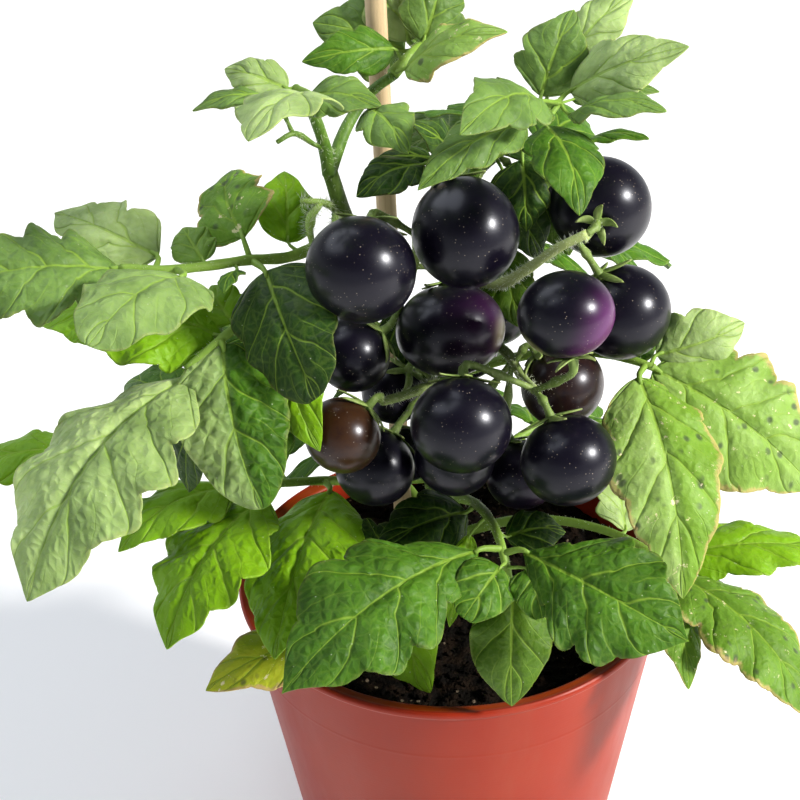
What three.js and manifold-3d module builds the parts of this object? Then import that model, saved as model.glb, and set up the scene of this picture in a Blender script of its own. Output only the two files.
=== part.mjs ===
// A dwarf tomato plant with dark purple fruits, growing in a round plastic pot beside a wooden cane.
// Units are millimetres, +Z is up. The origin is the centre of the pot's flat underside, and the
// front of the plant, where most of its fruits hang, faces -Y.

import * as THREE from 'three';
import { mergeVertices } from 'three/addons/utils/BufferGeometryUtils.js';
import Module from 'manifold-3d';

const wasm = await Module();
wasm.setup();

// ---------------------------------------------------------------- driving dimensions

const GAP = 0.3; // clearance between neighbouring pieces

const POT = {
  height: 122,
  rimRadius: 70,
  rimHeight: 2.6,
  rimLedge: 0.9, // how far the rim stands out from the wall under it
  rimWidth: 5,
  baseRadius: 51,
  wall: 1.7,
  baseThickness: 2.5,
  edge: 0.9, // chamfer on the rim's outer corner
  foot: 2, // chamfer around the flat underside
  sides: 32,
  drainHoles: 6,
  drainHoleRadius: 4,
  drainHoleSides: 8,
  drainCircle: 33,
};

const SOIL = {
  level: 111.5,
  edgeDrop: 1, // the surface ends this far below its level at the pot's wall
  crown: 2.4,
  lump: 1.1,
  lumpPitch: [0.31, 0.27], // radians per millimetre along X and along Y
  sides: 22,
  rings: 2,
  holeDepth: 45,
  holeSides: 10,
};

const CANE = { radius: 3, x: -15, y: 11, foot: 72, top: 344, lean: 4, sides: 10 };

const BLADE = {
  thickness: 0.9,
  fullness: 0.62, // below 1, the blade is widest nearer to its start than to its tip
  notch: 0.74, // width between two lobes, as a share of the outline's width
  sweep: 0.035, // lobes point this share of the length towards the tip
  arch: 0.13, // rise of the midrib's middle, as a share of the length
  droop: 0.22, // fall of the edge, as a share of the half width
  outward: 0.5, // how far a blade's face leans away from the plant's axis
  upward: 0.86,
  stalkWidth: 1.7, // the leaflet's own short stalk, which carries on the blade's midrib
  stalkThickness: 1.3,
};

const STALK = { radius: 1.6, tipRadius: 1.1, sides: 4 };

const FRUIT = { sides: 10, rings: 6, height: 0.95, dimple: 0.07 };

const CALYX = {
  radius: 7.5,
  share: 0.72, // a small fruit's sepals reach only this share of its radius
  waist: 2.4, // reach of the notches between the sepals
  thickness: 1,
  sepals: 5,
  seat: 0.35, // lift above the fruit's shoulder
  hug: 0.75, // share of the fruit's curve that the sepals follow
  spring: 0.3, // lift of the sepals' tips
  pedicelRadius: 1.2,
  pedicelSides: 3,
  pedicelRise: 3.5, // how far it goes straight out of the fruit before it bends
  knob: 0.2,
};

const Z_AXIS = new THREE.Vector3(0, 0, 1);

// Centre lines of the stem and of its branches, each from its root to its tip.
const STEM = {
  radius: 4.2,
  crownRadius: 2.5,
  branchRadius: 1.9,
  tipRadius: 1.4,
  sides: 7,
  branchSides: 5,
  main: [
    [-2, 2, 70], [-2, 2, 112], [-4, 2, 150], [-10, 1, 190], [-18, -2, 224], [-28, -8, 251], [-32, -15, 270],
  ],
  leftFork: [[-32, -15, 269], [-33, -22, 282], [-36, -36, 299]],
  rightFork: [[-32, -15, 269], [-27, -8, 279], [-20, 0, 286], [-13, 3, 290]],
  sideBranch: [[-9, 1, 184], [-1, 4, 215], [5, 3, 245], [10, -6, 270], [19, -20, 286], [25, -30, 292]],
  spentTruss: [[-31, -17, 276], [-35, -24, 281], [-40, -31, 287], [-44, -34, 286]],
  spentTwig: [[-40, -31, 287], [-42, -32, 293]],
  youngShoot: [[-27, -8, 250], [-33, -13, 259], [-40, -17, 262]],
};

// ---------------------------------------------------------------- fruits
// Each fruit: centre, diameter, and the way its stalk end points. A few are taller or flatter.

const FRUITS = {
  fruit_01: { at: [-24, -44, 254], size: 29, crown: [0.2, 0.8, 0.55] },
  fruit_02: { at: [4, -30, 257], size: 28.5, crown: [-0.25, 0.6, 0.75], height: 1.06 },
  fruit_03: { at: [0, -20, 222], size: 31, crown: [-0.1, 0.5, 0.85], height: 0.86 },
  fruit_04: { at: [43, -8, 253], size: 28.5, crown: [-0.2, -0.96, 0.1] },
  fruit_05: { at: [48, -24, 228], size: 27.5, crown: [-0.5, 0.1, 0.85] },
  fruit_06: { at: [29, -50, 242], size: 25.5, crown: [0.12, -0.35, -0.93], height: 0.9 },
  fruit_07: { at: [31, -31, 209], size: 24, crown: [-0.6, 0.3, 0.7] },
  fruit_08: { at: [30, -57, 201], size: 26, crown: [-0.35, 0.48, 0.8] },
  fruit_09: { at: [1, -58, 214], size: 27, crown: [0.1, 0.65, 0.75] },
  fruit_10: { at: [0, -36, 189], size: 23, crown: [0.4, 0.6, 0.7] },
  fruit_11: { at: [-23, -32, 184], size: 23.5, crown: [0.5, 0.6, 0.6] },
  fruit_12: { at: [-31, -50, 207], size: 21.5, crown: [0.69, 0.37, 0.62] },
  fruit_13: { at: [-28, -25, 218], size: 22, crown: [0.8, 0.2, 0.55] },
  fruit_14: { at: [-17, -12, 197], size: 19, crown: [0.5, -0.1, 0.85] },
  fruit_15: { at: [24, 9, 250], size: 17.5, crown: [-0.5, 0, 0.85] },
  fruit_16: { at: [20, -31, 179], size: 21.5, crown: [-0.3, 0.5, 0.8] },
  fruit_17: { at: [-14, -14, 176], size: 17, crown: [0.4, 0.6, 0.7] },
  fruit_18: { at: [16, 22, 206], size: 24, crown: [-0.85, 0.2, 0.5] },
  fruit_19: { at: [-14, 27, 190], size: 22, crown: [0.4, -0.3, 0.85] },
  fruit_20: { at: [8, 34, 184], size: 19, crown: [-0.3, -0.35, 0.88] },
};

// Each truss: its own stalk from the stem, and the fruits that hang on it.
const TRUSSES = {
  truss_top: {
    stalk: [[-17, -2, 222], [-12, -9, 232], [-9, -14, 243], [-9, -20, 252]],
    fruits: ['fruit_01', 'fruit_02', 'fruit_03', 'fruit_13'],
  },
  truss_right: {
    stalk: [[2, 4, 228], [14, -8, 230], [21, -20, 240], [30, -26, 250], [37, -27, 254]],
    fruits: ['fruit_04', 'fruit_05'],
  },
  truss_small: {
    stalk: [[6, 1, 252], [10, 6, 259], [15, 9, 262]],
    fruits: ['fruit_15'],
  },
  truss_middle: {
    stalk: [[-3, 3, 208], [10, -8, 212], [16, -20, 214], [19, -33, 214], [22, -43, 215]],
    fruits: ['fruit_06', 'fruit_07', 'fruit_08', 'fruit_09', 'fruit_10', 'fruit_16'],
  },
  truss_left: {
    stalk: [[-9, 1, 188], [-5, -12, 200], [-7, -24, 206], [-14, -32, 208], [-20, -38, 210]],
    fruits: ['fruit_11', 'fruit_12', 'fruit_14', 'fruit_17'],
  },
  truss_back: {
    stalk: [[-10, 1, 190], [-5, 12, 200], [1, 20, 203], [3, 25, 202]],
    fruits: ['fruit_18', 'fruit_19', 'fruit_20'],
  },
};

// ---------------------------------------------------------------- foliage
// Each leaflet: where its blade starts, where its tip is, and its width.
// A frond's stalk starts inside the stem. More is given where a blade is turned or bent otherwise.

const FRONDS = {
  frond_upper_left: {
    stalk: [[-27, -7, 249], [-42, -15, 245], [-55, -30, 251], [-74, -40, 254], [-87, -40, 255]],
    leaflets: [
      { at: [-87, -40, 255], tip: [-132, -50, 256], width: 34 },
      { at: [-78, -33, 255], tip: [-109, -11, 259], width: 27 },
      { at: [-69, -49, 257], tip: [-88, -88, 256], width: 33 },
      { at: [-66, -33, 253], tip: [-73, -18, 256], width: 13 },
      { at: [-56, -25, 256], tip: [-61, 5, 263], width: 26 },
      { at: [-45, -9, 246], tip: [-46, 12, 259], width: 18 },
      { at: [-57, -35, 251], tip: [-60, -46, 250], width: 8 },
      { at: [-50, -34, 250], tip: [-37, -63, 227], width: 30, face: [-0.4, -0.6, 0.7] },
    ],
  },
  frond_left: {
    stalk: [[-17, -2, 222], [-34, -8, 232], [-48, -24, 236], [-61, -40, 234], [-72, -46, 227]],
    leaflets: [
      { at: [-72, -46, 226], tip: [-112, -95, 190], width: 47 },
      { at: [-62, -43, 233], tip: [-53, -68, 196], width: 31, face: [0, -0.8, 0.5] },
      { at: [-63, -35, 231], tip: [-116, -22, 231], width: 36 },
      { at: [-60, -33, 234], tip: [-67, -18, 238], width: 14 },
      { at: [-66, -38, 225], tip: [-76, -46, 187], width: 24, face: [-0.6, -0.5, 0.3] },
      { at: [-49, -30, 232], tip: [-37, -62, 210], width: 22, face: [-0.4, -0.6, 0.6] },
    ],
  },
  frond_lower_left: {
    stalk: [[-5, 0, 158], [-24, -8, 163], [-40, -16, 169], [-54, -24, 174], [-66, -27, 176]],
    leaflets: [
      { at: [-66, -27, 176], tip: [-98, -46, 168], width: 29 },
      { at: [-56, -31, 175], tip: [-83, -72, 153], width: 38 },
      { at: [-37, -20, 169], tip: [-53, -73, 149], width: 38 },
      { at: [-52, -17, 174], tip: [-66, 8, 176], width: 20 },
    ],
  },
  frond_far_left: {
    stalk: [[-5, 0, 160], [-22, 3, 171], [-40, 5, 179], [-70, 2, 186], [-96, -8, 185], [-112, -12, 181]],
    leaflets: [
      { at: [-112, -12, 181], tip: [-152, -8, 170], width: 26 },
      { at: [-92, -10, 184], tip: [-116, -42, 178], width: 22 },
      { at: [-84, 4, 185], tip: [-104, 30, 180], width: 24 },
      { at: [-60, 10, 185], tip: [-72, 42, 186], width: 24 },
    ],
  },
  frond_low_front: {
    stalk: [[-3, 0, 128], [-16, -22, 138], [-30, -42, 138], [-39, -49, 135]],
    leaflets: [
      { at: [-39, -49, 135], tip: [-75, -62, 128], width: 24 },
      { at: [-22, -36, 137], tip: [-9, -59, 121], width: 22 },
      { at: [-16, -18, 139], tip: [-38, -14, 148], width: 20 },
    ],
  },
  frond_front: {
    stalk: [[-3, 0, 150], [5, -22, 164], [10, -44, 172], [12, -60, 174], [14, -66, 164]],
    leaflets: [
      { at: [6, -62, 176], tip: [-48, -105, 164], width: 44, face: [-0.1, -0.6, 0.8] },
      { at: [17, -63, 176], tip: [58, -95, 169], width: 41, face: [0.1, -0.6, 0.8] },
      { at: [10, -65, 172], tip: [0, -79, 166], width: 17 },
      { at: [18, -67, 172], tip: [19, -80, 165], width: 10 },
      { at: [15, -62, 160], tip: [14, -74, 128], width: 24, face: [0, -0.9, 0.3] },
      { at: [14, -49, 170], tip: [32, -42, 166], width: 14 },
      { at: [4, -42, 166], tip: [-3, -57, 144], width: 9, face: [0, -0.9, 0.3] },
      { at: [4, -29, 165], tip: [-23, -44, 165], width: 24, face: [-0.1, -0.6, 0.8] },
    ],
  },
  frond_right: {
    stalk: [[-10, 1, 190], [14, 2, 198], [34, -10, 208], [50, -26, 214], [57, -30, 213]],
    leaflets: [
      { at: [52, -34, 213], tip: [60, -77, 168], width: 33, face: [0.1, -0.8, 0.5] },
      { at: [57, -30, 213], tip: [102, -46, 181], width: 44, face: [0.2, -0.7, 0.6] },
      { at: [58, -26, 215], tip: [84, -20, 221], width: 22, face: [0.1, -0.8, 0.6] },
      { at: [44, -12, 212], tip: [66, 10, 204], width: 24 },
      { at: [30, -6, 206], tip: [40, 18, 208], width: 18 },
    ],
  },
  frond_lower_right: {
    stalk: [[-3, 0, 134], [24, -8, 146], [48, -20, 149], [66, -34, 146]],
    leaflets: [
      { at: [68, -38, 145], tip: [102, -75, 120], width: 36 },
      { at: [66, -26, 144], tip: [120, -20, 138], width: 26 },
      { at: [62, -42, 146], tip: [66, -68, 127], width: 17 },
      { at: [54, -17, 147], tip: [50, 3, 157], width: 20 },
    ],
  },
  shoot_top_left: {
    stalk: [[-36, -35, 297], [-38, -39, 302]],
    leaflets: [
      { at: [-34, -46, 303], tip: [-47, -78, 305], width: 26 },
      { at: [-40, -39, 302], tip: [-56, -31, 305], width: 13 },
      { at: [-45, -41, 301], tip: [-63, -46, 300], width: 10 },
      { at: [-35, -42, 301], tip: [-17, -50, 301], width: 15 },
      { at: [-20, -48, 300], tip: [-11, -63, 294], width: 15 },
    ],
  },
  shoot_top: {
    stalk: [[-14, 2, 290], [-8, 8, 294], [-6, 16, 293], [-7, 22, 290]],
    leaflets: [
      { at: [-11, -2, 293], tip: [16, -12, 306], width: 21 },
      { at: [-10, 24, 289], tip: [-36, 25, 298], width: 26, face: [0.1, -0.9, 0.4] },
      { at: [-9, 20, 293], tip: [-14, 28, 318], width: 24, face: [-0.1, -0.8, 0.5] },
      { at: [-5, 14, 295], tip: [1, 26, 314], width: 20, face: [0.2, -0.8, 0.5] },
      { at: [-4, 21, 291], tip: [4, 47, 290], width: 24 },
      { at: [-13, 3, 297], tip: [-38, -5, 297], width: 14, face: [0.2, -0.8, 0.5] },
    ],
  },
  shoot_top_right: {
    stalk: [[24, -28, 290], [28, -32, 293]],
    leaflets: [
      { at: [23, -40, 297], tip: [1, -72, 302], width: 20 },
      { at: [19, -40, 291], tip: [-9, -62, 284], width: 15 },
      { at: [24, -38, 290], tip: [30, -64, 277], width: 21, face: [0.2, -0.8, 0.5] },
      { at: [24, -24, 292], tip: [33, -16, 312], width: 20, face: [-0.2, -0.8, 0.6] },
      { at: [31, -26, 294], tip: [59, -35, 308], width: 21, face: [-0.1, -0.7, 0.7] },
      { at: [30, -34, 291], tip: [52, -49, 297], width: 16 },
      { at: [33, -16, 288], tip: [56, -17, 290], width: 12 },
      { at: [32, -4, 294], tip: [52, 8, 309], width: 16, face: [-0.1, -0.6, 0.8] },
    ],
  },
  frond_inner_top: {
    stalk: [[7, 0, 255], [2, -7, 264], [-4, -8, 268]],
    leaflets: [
      { at: [-6, -8, 268], tip: [-25, -17, 263], width: 16 },
      { at: [1, -9, 269], tip: [-9, -27, 287], width: 13, face: [0.1, -0.8, 0.5] },
      { at: [-4, -4, 268], tip: [-20, 0, 266], width: 11 },
    ],
  },
  frond_inner_right: {
    stalk: [[9, -4, 266], [18, -4, 270], [27, -7, 272], [33, -10, 272]],
    leaflets: [
      { at: [34, -11, 272], tip: [53, -22, 279], width: 12 },
      { at: [30, -12, 270], tip: [40, -27, 270], width: 12 },
      { at: [21, -8, 268], tip: [22, -12, 248], width: 17, face: [0, -0.95, 0.1] },
      { at: [26, -3, 272], tip: [42, 22, 268], width: 20 },
    ],
  },
};

// The fronds that the plant carries at its back all follow one rule: pairs of side leaflets and a
// larger one at the end, on a stalk that rises and then bends over.
const BACK_FRONDS = {
  frond_back_low_left: { from: [-3, 4, 134], turn: 132, reach: 78, rise: 26, drop: 24, size: 46 },
  frond_back_low_right: { from: [-1, 4, 142], turn: 39, reach: 84, rise: 26, drop: 32, size: 44 },
  frond_back_middle: { from: [-3, 4, 148], turn: 95, reach: 84, rise: 34, drop: 26, size: 46 },
  frond_back_left: { from: [-13, 0, 206], turn: 158, reach: 46, rise: 14, drop: 14, size: 34 },
  frond_back_right: { from: [0, 6, 222], turn: 40, reach: 62, rise: 18, drop: 26, size: 40 },
  frond_back_top: { from: [5, 4, 246], turn: 80, reach: 56, rise: 20, drop: 10, size: 40 },
};

const FROND_RULE = {
  pairs: [0.42, 0.7], // where the side leaflets stand along the stalk
  stagger: 0.05, // how far the two leaflets of a pair stand before and behind that place
  base: 2, // length of a leaflet's own stalk
  spread: 62, // their angle to the stalk, in degrees
  sideSize: [0.72, 0.86], // their length, as a share of the end leaflet's
  width: 0.68, // a leaflet's width, as a share of its length
  leafDrop: 0.5, // fall of a leaflet's tip, as a share of its length
  riseTurn: 0.62, // half turns of a sine that the stalk's rise follows
  dropPower: 2.4, // how late along the stalk its fall sets in
};

// ---------------------------------------------------------------- finishes

const plain = (color, roughness) => new THREE.MeshStandardMaterial({ color, roughness, metalness: 0 });

const FINISH = {
  pot: () => plain(0xb24a2c, 0.35),
  soil: () => plain(0x2a1d16, 0.95),
  cane: () => plain(0xd6b184, 0.6),
  stem: () => plain(0x4f7c2c, 0.55),
  leaf: () => plain(0x3f8a24, 0.5),
  calyx: () => plain(0x86a552, 0.6),
  fruit: () => plain(0x17131f, 0.15),
};

// ---------------------------------------------------------------- solids

const vec = (p) => new THREE.Vector3(...p);

function toSolid(geometry) {
  const bare = geometry.clone();
  for (const name of Object.keys(bare.attributes)) if (name !== 'position') bare.deleteAttribute(name);
  const merged = mergeVertices(bare, 1e-4);
  const index = merged.index.array;
  const triangles = [];
  for (let i = 0; i < index.length; i += 3) {
    const [a, b, c] = [index[i], index[i + 1], index[i + 2]];
    if (a !== b && b !== c && c !== a) triangles.push(a, b, c);
  }
  return new wasm.Manifold(new wasm.Mesh({
    numProp: 3,
    vertProperties: new Float32Array(merged.attributes.position.array),
    triVerts: new Uint32Array(triangles),
  }));
}

function toGeometry(solid) {
  const mesh = solid.getMesh();
  const geometry = new THREE.BufferGeometry();
  geometry.setAttribute('position', new THREE.BufferAttribute(new Float32Array(mesh.vertProperties), 3));
  geometry.setIndex(new THREE.BufferAttribute(new Uint32Array(mesh.triVerts), 1));
  return geometry;
}

// Joins solids and keeps the largest body, so that loose scraps and sealed hollows are left out.
function fuse(solids) {
  return largestBody(wasm.Manifold.union(solids));
}

function largestBody(solid) {
  const bodies = solid.decompose();
  return bodies.reduce((best, body) => (body.volume() > best.volume() ? body : best));
}

function moveVertices(geometry, place) {
  const position = geometry.attributes.position;
  for (let i = 0; i < position.count; i++) {
    const point = place(new THREE.Vector3().fromBufferAttribute(position, i));
    position.setXYZ(i, point.x, point.y, point.z);
  }
  return geometry;
}

const stalkCurve = (points) => new THREE.CatmullRomCurve3(points.map(vec), false, 'centripetal');
const stalkSteps = (points) => points.length;

// A round stalk along a smooth curve, thinner at its end than at its start.
function stalkSolid(points, startRadius, endRadius, sides) {
  const curve = stalkCurve(points);
  const steps = stalkSteps(points);
  const frames = curve.computeFrenetFrames(steps, false);
  const geometry = new THREE.CylinderGeometry(1, 1, steps, sides, steps);
  moveVertices(geometry, (p) => {
    const step = Math.round(p.y + steps / 2);
    const share = step / steps;
    const radius = startRadius + (endRadius - startRadius) * share;
    return curve.getPointAt(share)
      .addScaledVector(frames.normals[step], p.z * radius)
      .addScaledVector(frames.binormals[step], p.x * radius);
  });
  return toSolid(geometry);
}

// ---------------------------------------------------------------- pot, soil and cane

function wallRadius(height) {
  const top = POT.rimRadius - POT.rimLedge;
  return POT.baseRadius + ((top - POT.baseRadius) * height) / (POT.height - POT.rimHeight);
}

function potSolid() {
  const { height, rimRadius, rimHeight, rimWidth, edge, wall, baseThickness } = POT;
  const rimFoot = height - rimHeight;
  const profile = [
    [0, 0],
    [POT.baseRadius - POT.foot, 0],
    [wallRadius(POT.foot), POT.foot],
    [wallRadius(rimFoot), rimFoot],
    [rimRadius, rimFoot],
    [rimRadius, height - edge],
    [rimRadius - edge, height],
    [rimRadius - rimWidth, height],
    [wallRadius(rimFoot) - wall, rimFoot - edge],
    [wallRadius(baseThickness) - wall, baseThickness],
    [0, baseThickness],
  ].map(([radius, z]) => new THREE.Vector2(radius, z));
  let solid = toSolid(new THREE.LatheGeometry(profile, POT.sides).rotateX(Math.PI / 2));
  for (let i = 0; i < POT.drainHoles; i++) {
    const angle = (i / POT.drainHoles) * 2 * Math.PI;
    const drill = new THREE.CylinderGeometry(
      POT.drainHoleRadius, POT.drainHoleRadius, 4 * baseThickness, POT.drainHoleSides,
    )
      .rotateX(Math.PI / 2)
      .translate(POT.drainCircle * Math.cos(angle), POT.drainCircle * Math.sin(angle), baseThickness);
    solid = solid.subtract(toSolid(drill));
  }
  return solid;
}

function soilSolid() {
  const foot = POT.baseThickness + GAP;
  const inner = (z) => wallRadius(z) - POT.wall - GAP;
  const edge = SOIL.level - SOIL.edgeDrop;
  const profile = [new THREE.Vector2(0, foot), new THREE.Vector2(inner(foot), foot)];
  profile.push(new THREE.Vector2(inner(edge), edge));
  for (let i = SOIL.rings; i > 0; i--) {
    const share = i / SOIL.rings;
    const radius = inner(edge) * (share - 0.12);
    profile.push(new THREE.Vector2(radius, SOIL.level + SOIL.crown * (1 - share ** 2)));
  }
  profile.push(new THREE.Vector2(0, SOIL.level + SOIL.crown));
  const geometry = new THREE.LatheGeometry(profile, SOIL.sides).rotateX(Math.PI / 2);
  moveVertices(geometry, (p) => {
    const [pitchX, pitchY] = SOIL.lumpPitch;
    if (p.z > edge + GAP) p.z += SOIL.lump * Math.sin(pitchX * p.x + 1) * Math.cos(pitchY * p.y);
    return p;
  });
  const depth = 2 * SOIL.holeDepth;
  const hole = (x, y, radius) => toSolid(
    new THREE.CylinderGeometry(radius, radius, depth, SOIL.holeSides)
      .rotateX(Math.PI / 2)
      .translate(x, y, SOIL.level),
  );
  return toSolid(geometry)
    .subtract(hole(STEM.main[0][0], STEM.main[0][1], STEM.radius + 2 * GAP))
    .subtract(hole(CANE.x, CANE.y, CANE.radius + 2 * GAP));
}

function caneSolid() {
  const length = CANE.top - CANE.foot;
  const geometry = new THREE.CylinderGeometry(CANE.radius, CANE.radius, length, CANE.sides)
    .rotateX(Math.PI / 2)
    .translate(CANE.x, CANE.y, CANE.foot + length / 2);
  moveVertices(geometry, (p) => {
    p.x -= (CANE.lean * Math.max(0, p.z - SOIL.level)) / length;
    return p;
  });
  return toSolid(geometry);
}

// ---------------------------------------------------------------- stems

function stemSolid(clearance = 0) {
  const tube = (points, start, end, sides) =>
    stalkSolid(points, start + clearance, end + clearance, sides);
  return fuse([
    tube(STEM.main, STEM.radius, STEM.crownRadius, STEM.sides),
    tube(STEM.leftFork, STEM.branchRadius, STEM.tipRadius, STEM.branchSides),
    tube(STEM.rightFork, STEM.branchRadius, STEM.tipRadius, STEM.branchSides),
    tube(STEM.sideBranch, STEM.branchRadius + 0.5, STEM.tipRadius, STEM.branchSides),
    tube(STEM.spentTruss, STEM.tipRadius * 0.7, STEM.tipRadius * 0.6, 4),
    tube(STEM.spentTwig, STEM.tipRadius * 0.6, STEM.tipRadius * 0.6, 4),
    tube(STEM.youngShoot, STEM.tipRadius, STEM.tipRadius * 0.8, 4),
  ]);
}

// ---------------------------------------------------------------- leaflets and fronds

const stemAxis = new THREE.Vector3(-8, 0, 0);

// A blade faces upwards and a little away from the plant's axis, unless its own facing is given.
function bladeFrame({ at, tip, face }) {
  const start = vec(at);
  const along = vec(tip).sub(start);
  const length = along.length();
  along.normalize();
  const outward = start.clone().add(vec(tip)).multiplyScalar(0.5).sub(stemAxis).setZ(0).normalize();
  outward.multiplyScalar(BLADE.outward).addScaledVector(Z_AXIS, BLADE.upward);
  const hint = face ? vec(face) : outward;
  const up = hint.addScaledVector(along, -hint.dot(along)).normalize();
  return { start, along, up, across: new THREE.Vector3().crossVectors(along, up), length };
}

// Larger blades have more lobes, and a midrib with a fold along it.
function bladeFields(length) {
  if (length > 46) return { across: 2, along: 8 };
  if (length > 30) return { across: 2, along: length > 36 ? 6 : 5 };
  return { across: 1, along: length > 14 ? 5 : 4 };
}

function bladeHalfWidth(share, isLobe, width) {
  const envelope = Math.sin(Math.PI * share ** BLADE.fullness);
  return (width / 2) * envelope * (isLobe ? 1 : BLADE.notch);
}

function bladePoint(frame, share, lift) {
  const { start, along, up, length } = frame;
  const rise = 4 * BLADE.arch * length * share * (1 - share) + lift;
  return start.clone().addScaledVector(along, share * length).addScaledVector(up, rise);
}

// The point of a stalk's centre line that lies nearest to a given point.
function nearestOnStalk(points, point) {
  const curve = stalkCurve(points);
  const steps = stalkSteps(points);
  const samples = 10;
  let best = curve.getPointAt(0);
  for (let i = 0; i < steps; i++) {
    const [start, end] = [curve.getPointAt(i / steps), curve.getPointAt((i + 1) / steps)];
    for (let j = 1; j <= samples; j++) {
      const candidate = start.clone().lerp(end, j / samples);
      if (candidate.distanceTo(point) < best.distanceTo(point)) best = candidate;
    }
  }
  return best;
}

// One leaflet: a flat box of two by some fields, drawn out to the lobed outline and bent. Its first
// field is the leaflet's own stalk, which starts in the middle of the frond's stalk.
function leafletSolid(leaflet, stalk) {
  const frame = bladeFrame(leaflet);
  const root = nearestOnStalk(stalk, frame.start);
  const fields = bladeFields(frame.length);
  const geometry = new THREE.BoxGeometry(2, fields.along + 1, 1, fields.across, fields.along + 1, 1);
  moveVertices(geometry, (p) => {
    const station = Math.round(p.y + (fields.along + 1) / 2) - 1;
    if (station <= 0) {
      const centre = station < 0 ? root : frame.start;
      return centre.clone()
        .addScaledVector(frame.across, (p.x * BLADE.stalkWidth) / 2)
        .addScaledVector(frame.up, (p.z - 0.5) * BLADE.stalkThickness);
    }
    const share = station / fields.along;
    const isLobe = station % 2 === 1;
    const half = station === fields.along ? 0 : bladeHalfWidth(share, isLobe, leaflet.width);
    const edge = Math.abs(p.x);
    const swept = share + (isLobe ? edge * BLADE.sweep : 0);
    const lift = (p.z - 0.5) * BLADE.thickness - edge * half * BLADE.droop;
    return bladePoint(frame, swept, lift).addScaledVector(frame.across, p.x * half);
  });
  return toSolid(geometry);
}

function frondSolid({ stalk, leaflets }) {
  const solids = [stalkSolid(stalk, STALK.radius, STALK.tipRadius, STALK.sides)];
  for (const leaflet of leaflets) solids.push(leafletSolid(leaflet, stalk));
  return wasm.Manifold.union(solids);
}

// A frond of the plant's back, worked out from its direction and size.
function ruledFrond({ from, turn, reach, rise, drop, size }) {
  const heading = THREE.MathUtils.degToRad(turn);
  const out = new THREE.Vector3(Math.cos(heading), Math.sin(heading), 0);
  const place = (share) => vec(from)
    .addScaledVector(out, reach * share)
    .addScaledVector(Z_AXIS, rise * Math.sin(share * Math.PI * FROND_RULE.riseTurn))
    .addScaledVector(Z_AXIS, -drop * share ** FROND_RULE.dropPower);
  const leafletAt = (share, angle, length) => {
    const way = out.clone().applyAxisAngle(Z_AXIS, THREE.MathUtils.degToRad(angle));
    const base = place(share).addScaledVector(way, FROND_RULE.base);
    const tip = base.clone()
      .addScaledVector(way, length)
      .addScaledVector(Z_AXIS, -FROND_RULE.leafDrop * length);
    return { at: base.toArray(), tip: tip.toArray(), width: length * FROND_RULE.width };
  };
  const leaflets = [leafletAt(1, 0, size)];
  FROND_RULE.pairs.forEach((share, i) => {
    for (const side of [-1, 1]) {
      const offset = share + side * FROND_RULE.stagger;
      leaflets.push(leafletAt(offset, side * FROND_RULE.spread, size * FROND_RULE.sideSize[i]));
    }
  });
  return { stalk: [0, 0.3, 0.65, 1].map((share) => place(share).toArray()), leaflets };
}

// ---------------------------------------------------------------- fruits and trusses

function fruitTurn(crown) {
  return new THREE.Quaternion().setFromUnitVectors(Z_AXIS, vec(crown).normalize());
}

// Slightly flattened, with a shallow dimple where the stalk sits.
function fruitSolid({ at, size, crown, height = FRUIT.height }, clearance = 0) {
  const radius = size / 2;
  const geometry = new THREE.SphereGeometry(1, FRUIT.sides, FRUIT.rings).rotateX(Math.PI / 2);
  const turn = fruitTurn(crown);
  moveVertices(geometry, (p) => {
    const dimple = Math.max(0, p.z - 0.9) * 10 * FRUIT.dimple;
    const scale = radius + clearance;
    return new THREE.Vector3(p.x * scale, p.y * scale, (p.z * height - dimple) * scale)
      .applyQuaternion(turn)
      .add(vec(at));
  });
  return toSolid(geometry);
}

// The star of sepals that lies on a fruit's shoulder, with the pedicel that holds it.
function calyxSolids(fruit, stalk) {
  const radius = fruit.size / 2;
  const crown = vec(fruit.crown).normalize();
  const shape = new THREE.Shape();
  for (let i = 0; i < 2 * CALYX.sepals; i++) {
    const reach = i % 2 ? CALYX.waist : Math.min(CALYX.radius, radius * CALYX.share);
    const angle = (i * Math.PI) / CALYX.sepals;
    shape[i ? 'lineTo' : 'moveTo'](reach * Math.cos(angle), reach * Math.sin(angle));
  }
  const star = new THREE.ExtrudeGeometry(shape, { depth: CALYX.thickness, bevelEnabled: false });
  const seat = radius * (fruit.height ?? FRUIT.height) + CALYX.seat;
  const turn = fruitTurn(fruit.crown);
  const centre = vec(fruit.at);
  moveVertices(star, (p) => {
    const share = Math.hypot(p.x, p.y) / radius;
    const fall = radius * (1 - Math.sqrt(Math.max(0, 1 - share ** 2)));
    const z = p.z + seat - CALYX.hug * fall + CALYX.spring * share;
    return new THREE.Vector3(p.x, p.y, z).applyQuaternion(turn).add(centre);
  });
  const knob = centre.clone().addScaledVector(crown, seat + CALYX.knob);
  const bend = centre.clone().addScaledVector(crown, seat + CALYX.pedicelRise);
  const root = nearestOnStalk(stalk, bend);
  const points = [root, bend, knob].map((p) => p.toArray());
  const pedicel = stalkSolid(points, CALYX.pedicelRadius, CALYX.pedicelRadius, CALYX.pedicelSides);
  return [toSolid(star), pedicel];
}

function trussSolid({ stalk, fruits }) {
  const solids = [stalkSolid(stalk, STALK.radius, STALK.tipRadius, STALK.sides)];
  for (const name of fruits) solids.push(...calyxSolids(FRUITS[name], stalk));
  return wasm.Manifold.union(solids);
}

// ---------------------------------------------------------------- assembly

const plant = new THREE.Group();

function addPiece(name, solid, finish) {
  const mesh = new THREE.Mesh(toGeometry(solid), finish());
  mesh.name = name;
  plant.add(mesh);
}

const stemCutter = stemSolid(GAP);
const fruitCutters = wasm.Manifold.union(Object.values(FRUITS).map((fruit) => fruitSolid(fruit, GAP)));

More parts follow.
